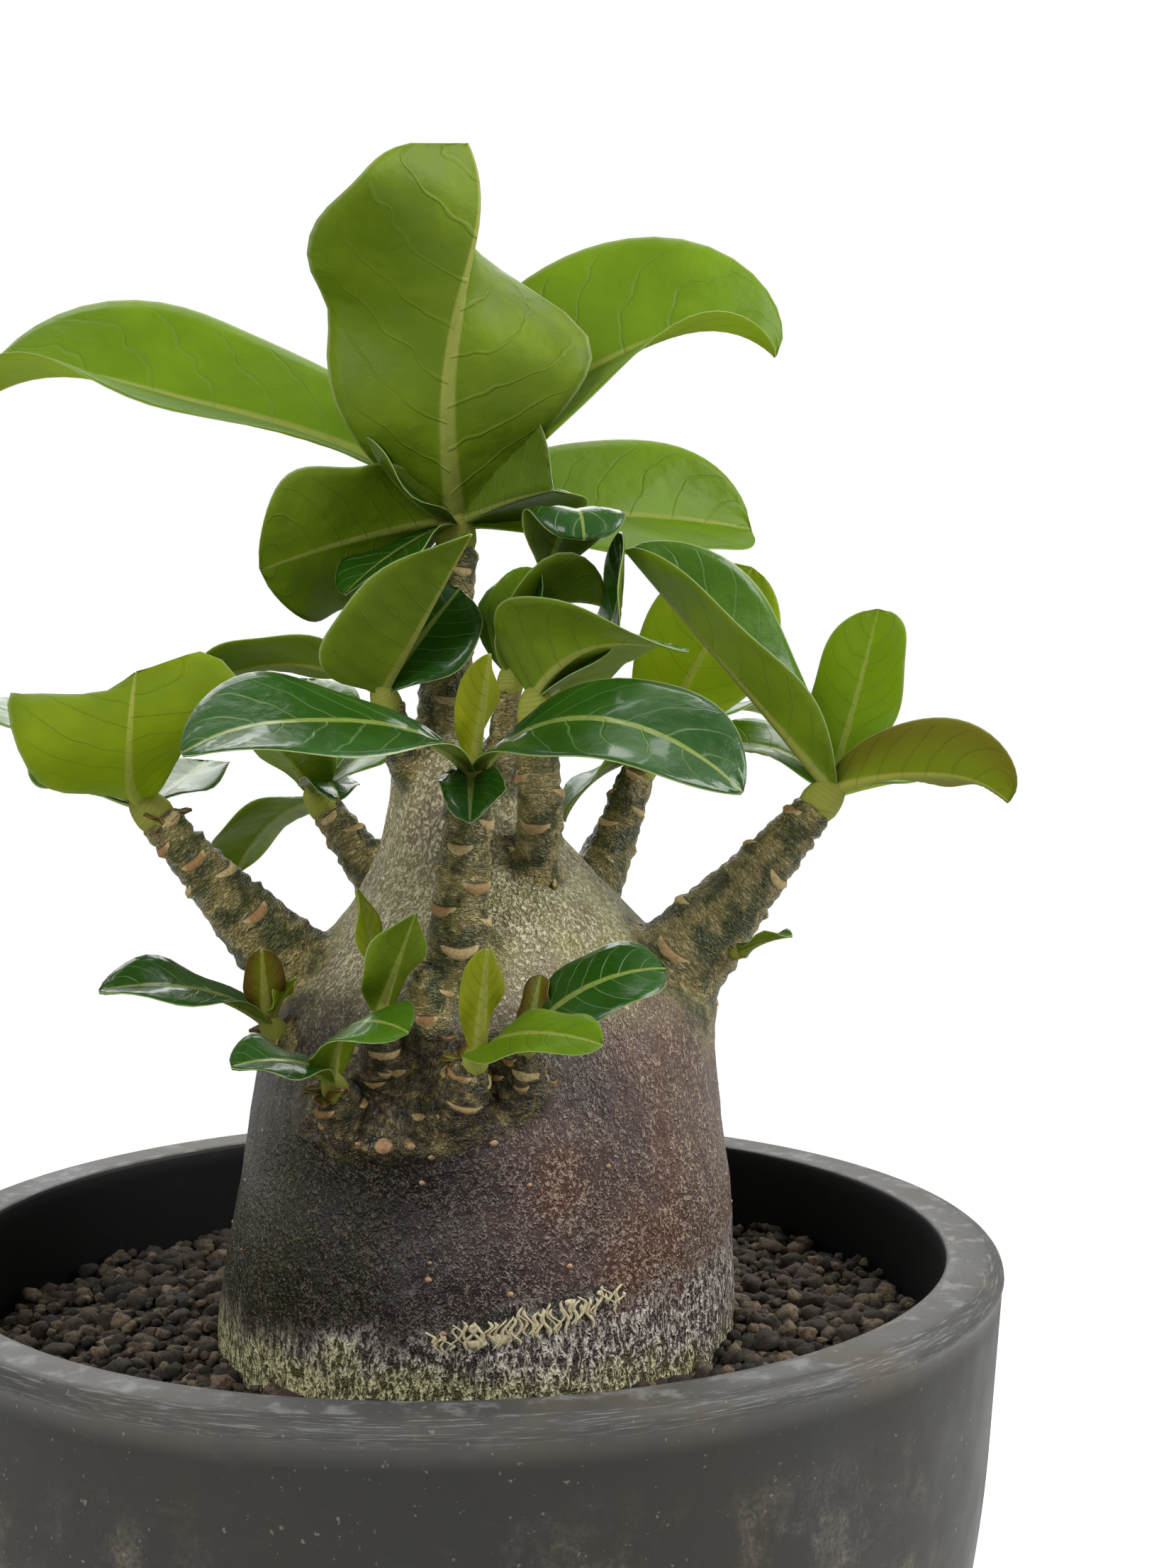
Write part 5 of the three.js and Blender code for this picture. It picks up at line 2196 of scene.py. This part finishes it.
@dataclass(frozen=True)
class Softbox:
    """A square studio light that looks at the plant."""

    name: str
    place: tuple[float, float, float]
    size: float
    power: float

    AIM = (0, 0, 0.26)

    def build(self) -> None:
        """Add the light."""
        light = bpy.data.lights.new(self.name, "AREA")
        light.size = self.size
        light.energy = self.power
        lamp = bpy.data.objects.new(self.name, light)
        lamp.location = self.place
        aim = Vector(self.AIM) - lamp.location
        lamp.rotation_euler = aim.to_track_quat("-Z", "Y").to_euler()
        bpy.context.scene.collection.objects.link(lamp)


@dataclass(frozen=True)
class Studio:
    """The pale floor, the soft lights and the camera at the photograph's angle."""

    softboxes: tuple[Softbox, ...] = (
        Softbox("right_softbox", (0.95, -0.1, 0.95), 0.7, 14),
        Softbox("front_softbox", (-0.6, -0.9, 1.0), 0.6, 9),
        Softbox("back_softbox", (-0.1, 0.95, 1.0), 1.0, 12),
    )
    sky: float = 0.4
    backdrop: float = 1.0
    camera_place: tuple[float, float, float] = (0.0, -0.53, 0.3335)
    camera_yaw: float = 3.36
    camera_pitch: float = 4.27
    focal_pixels: float = 3300
    photo_height: float = 2212
    sensor: float = 24.0
    floor_radius: float = 700
    paper: Colour = "#fbfbfa"

    def build(self) -> None:
        """Set up the whole studio."""
        self.floor()
        self.world()
        for softbox in self.softboxes:
            softbox.build()
        self.camera()
        bpy.context.scene.view_settings.view_transform = "Standard"

    def floor(self) -> None:
        """Lay the pale floor."""
        bm = bmesh.new()
        bmesh.ops.create_circle(bm, cap_ends=True, segments=96, radius=self.floor_radius)
        shader = Shader("floor_paper")
        paper = shader.finish(shader.surface(Base_Color=self.paper, Roughness=0.9))
        finish_mesh(bm, "studio_floor", [paper])

    def world(self) -> None:
        """Light the studio softly from all round, in front of a white backdrop."""
        world = bpy.data.worlds.new("studio_sky")
        world.use_nodes = True
        tree = world.node_tree
        sky = tree.nodes["Background"]
        sky.inputs["Color"].default_value = (1, 1, 1, 1)
        seen = tree.nodes.new("ShaderNodeLightPath").outputs["Is Camera Ray"]
        strength = tree.nodes.new("ShaderNodeMapRange")
        strength.inputs["To Min"].default_value = self.sky
        strength.inputs["To Max"].default_value = self.backdrop
        tree.links.new(seen, strength.inputs["Value"])
        tree.links.new(strength.outputs["Result"], sky.inputs["Strength"])
        bpy.context.scene.world = world

    def camera(self) -> None:
        """Place the camera."""
        lens = bpy.data.cameras.new("photo_camera")
        lens.sensor_fit = "VERTICAL"
        lens.sensor_height = self.sensor
        lens.lens = self.sensor * self.focal_pixels / self.photo_height
        lens.clip_start = 0.01
        eye = bpy.data.objects.new("photo_camera", lens)
        eye.location = self.camera_place
        eye.rotation_euler = (math.radians(90 - self.camera_pitch), 0, math.radians(-self.camera_yaw))
        bpy.context.scene.collection.objects.link(eye)
        bpy.context.scene.camera = eye


def main() -> None:
    """Build the plant, its pot and the studio, and note the sizes."""
    logging.basicConfig(level=logging.INFO, format="%(name)s %(message)s")
    Studio().build()
    pot = Pot()
    pot.build(ResinFinish().material(), InnerWallShadeFinish().material())
    soil = Soil()
    soil.bed(GritFinish("soil_dirt", toned=False).material(), pot)
    soil.grains(GritFinish("soil_grit").material())
    greens = [UPPER_LEAF.material(), UNDER_LEAF.material(), MarginFinish().material()]
    for shoot in SHOOTS:
        shoot.build(greens)
    trunk = Trunk((*(shoot.stem for shoot in SHOOTS), BARE_STUB))
    skin = trunk.build(SkinFinish().material())
    graph = bpy.context.evaluated_depsgraph_get()
    marks = SkinMarks(BVHTree.FromObject(skin, graph), trunk)
    marks.leaf_scars(SCAR_CORK.material())
    marks.dots(DOT_CORK.material())
    marks.corky_band(CREAM_CORK.material())


if __name__ == "__main__":
    main()
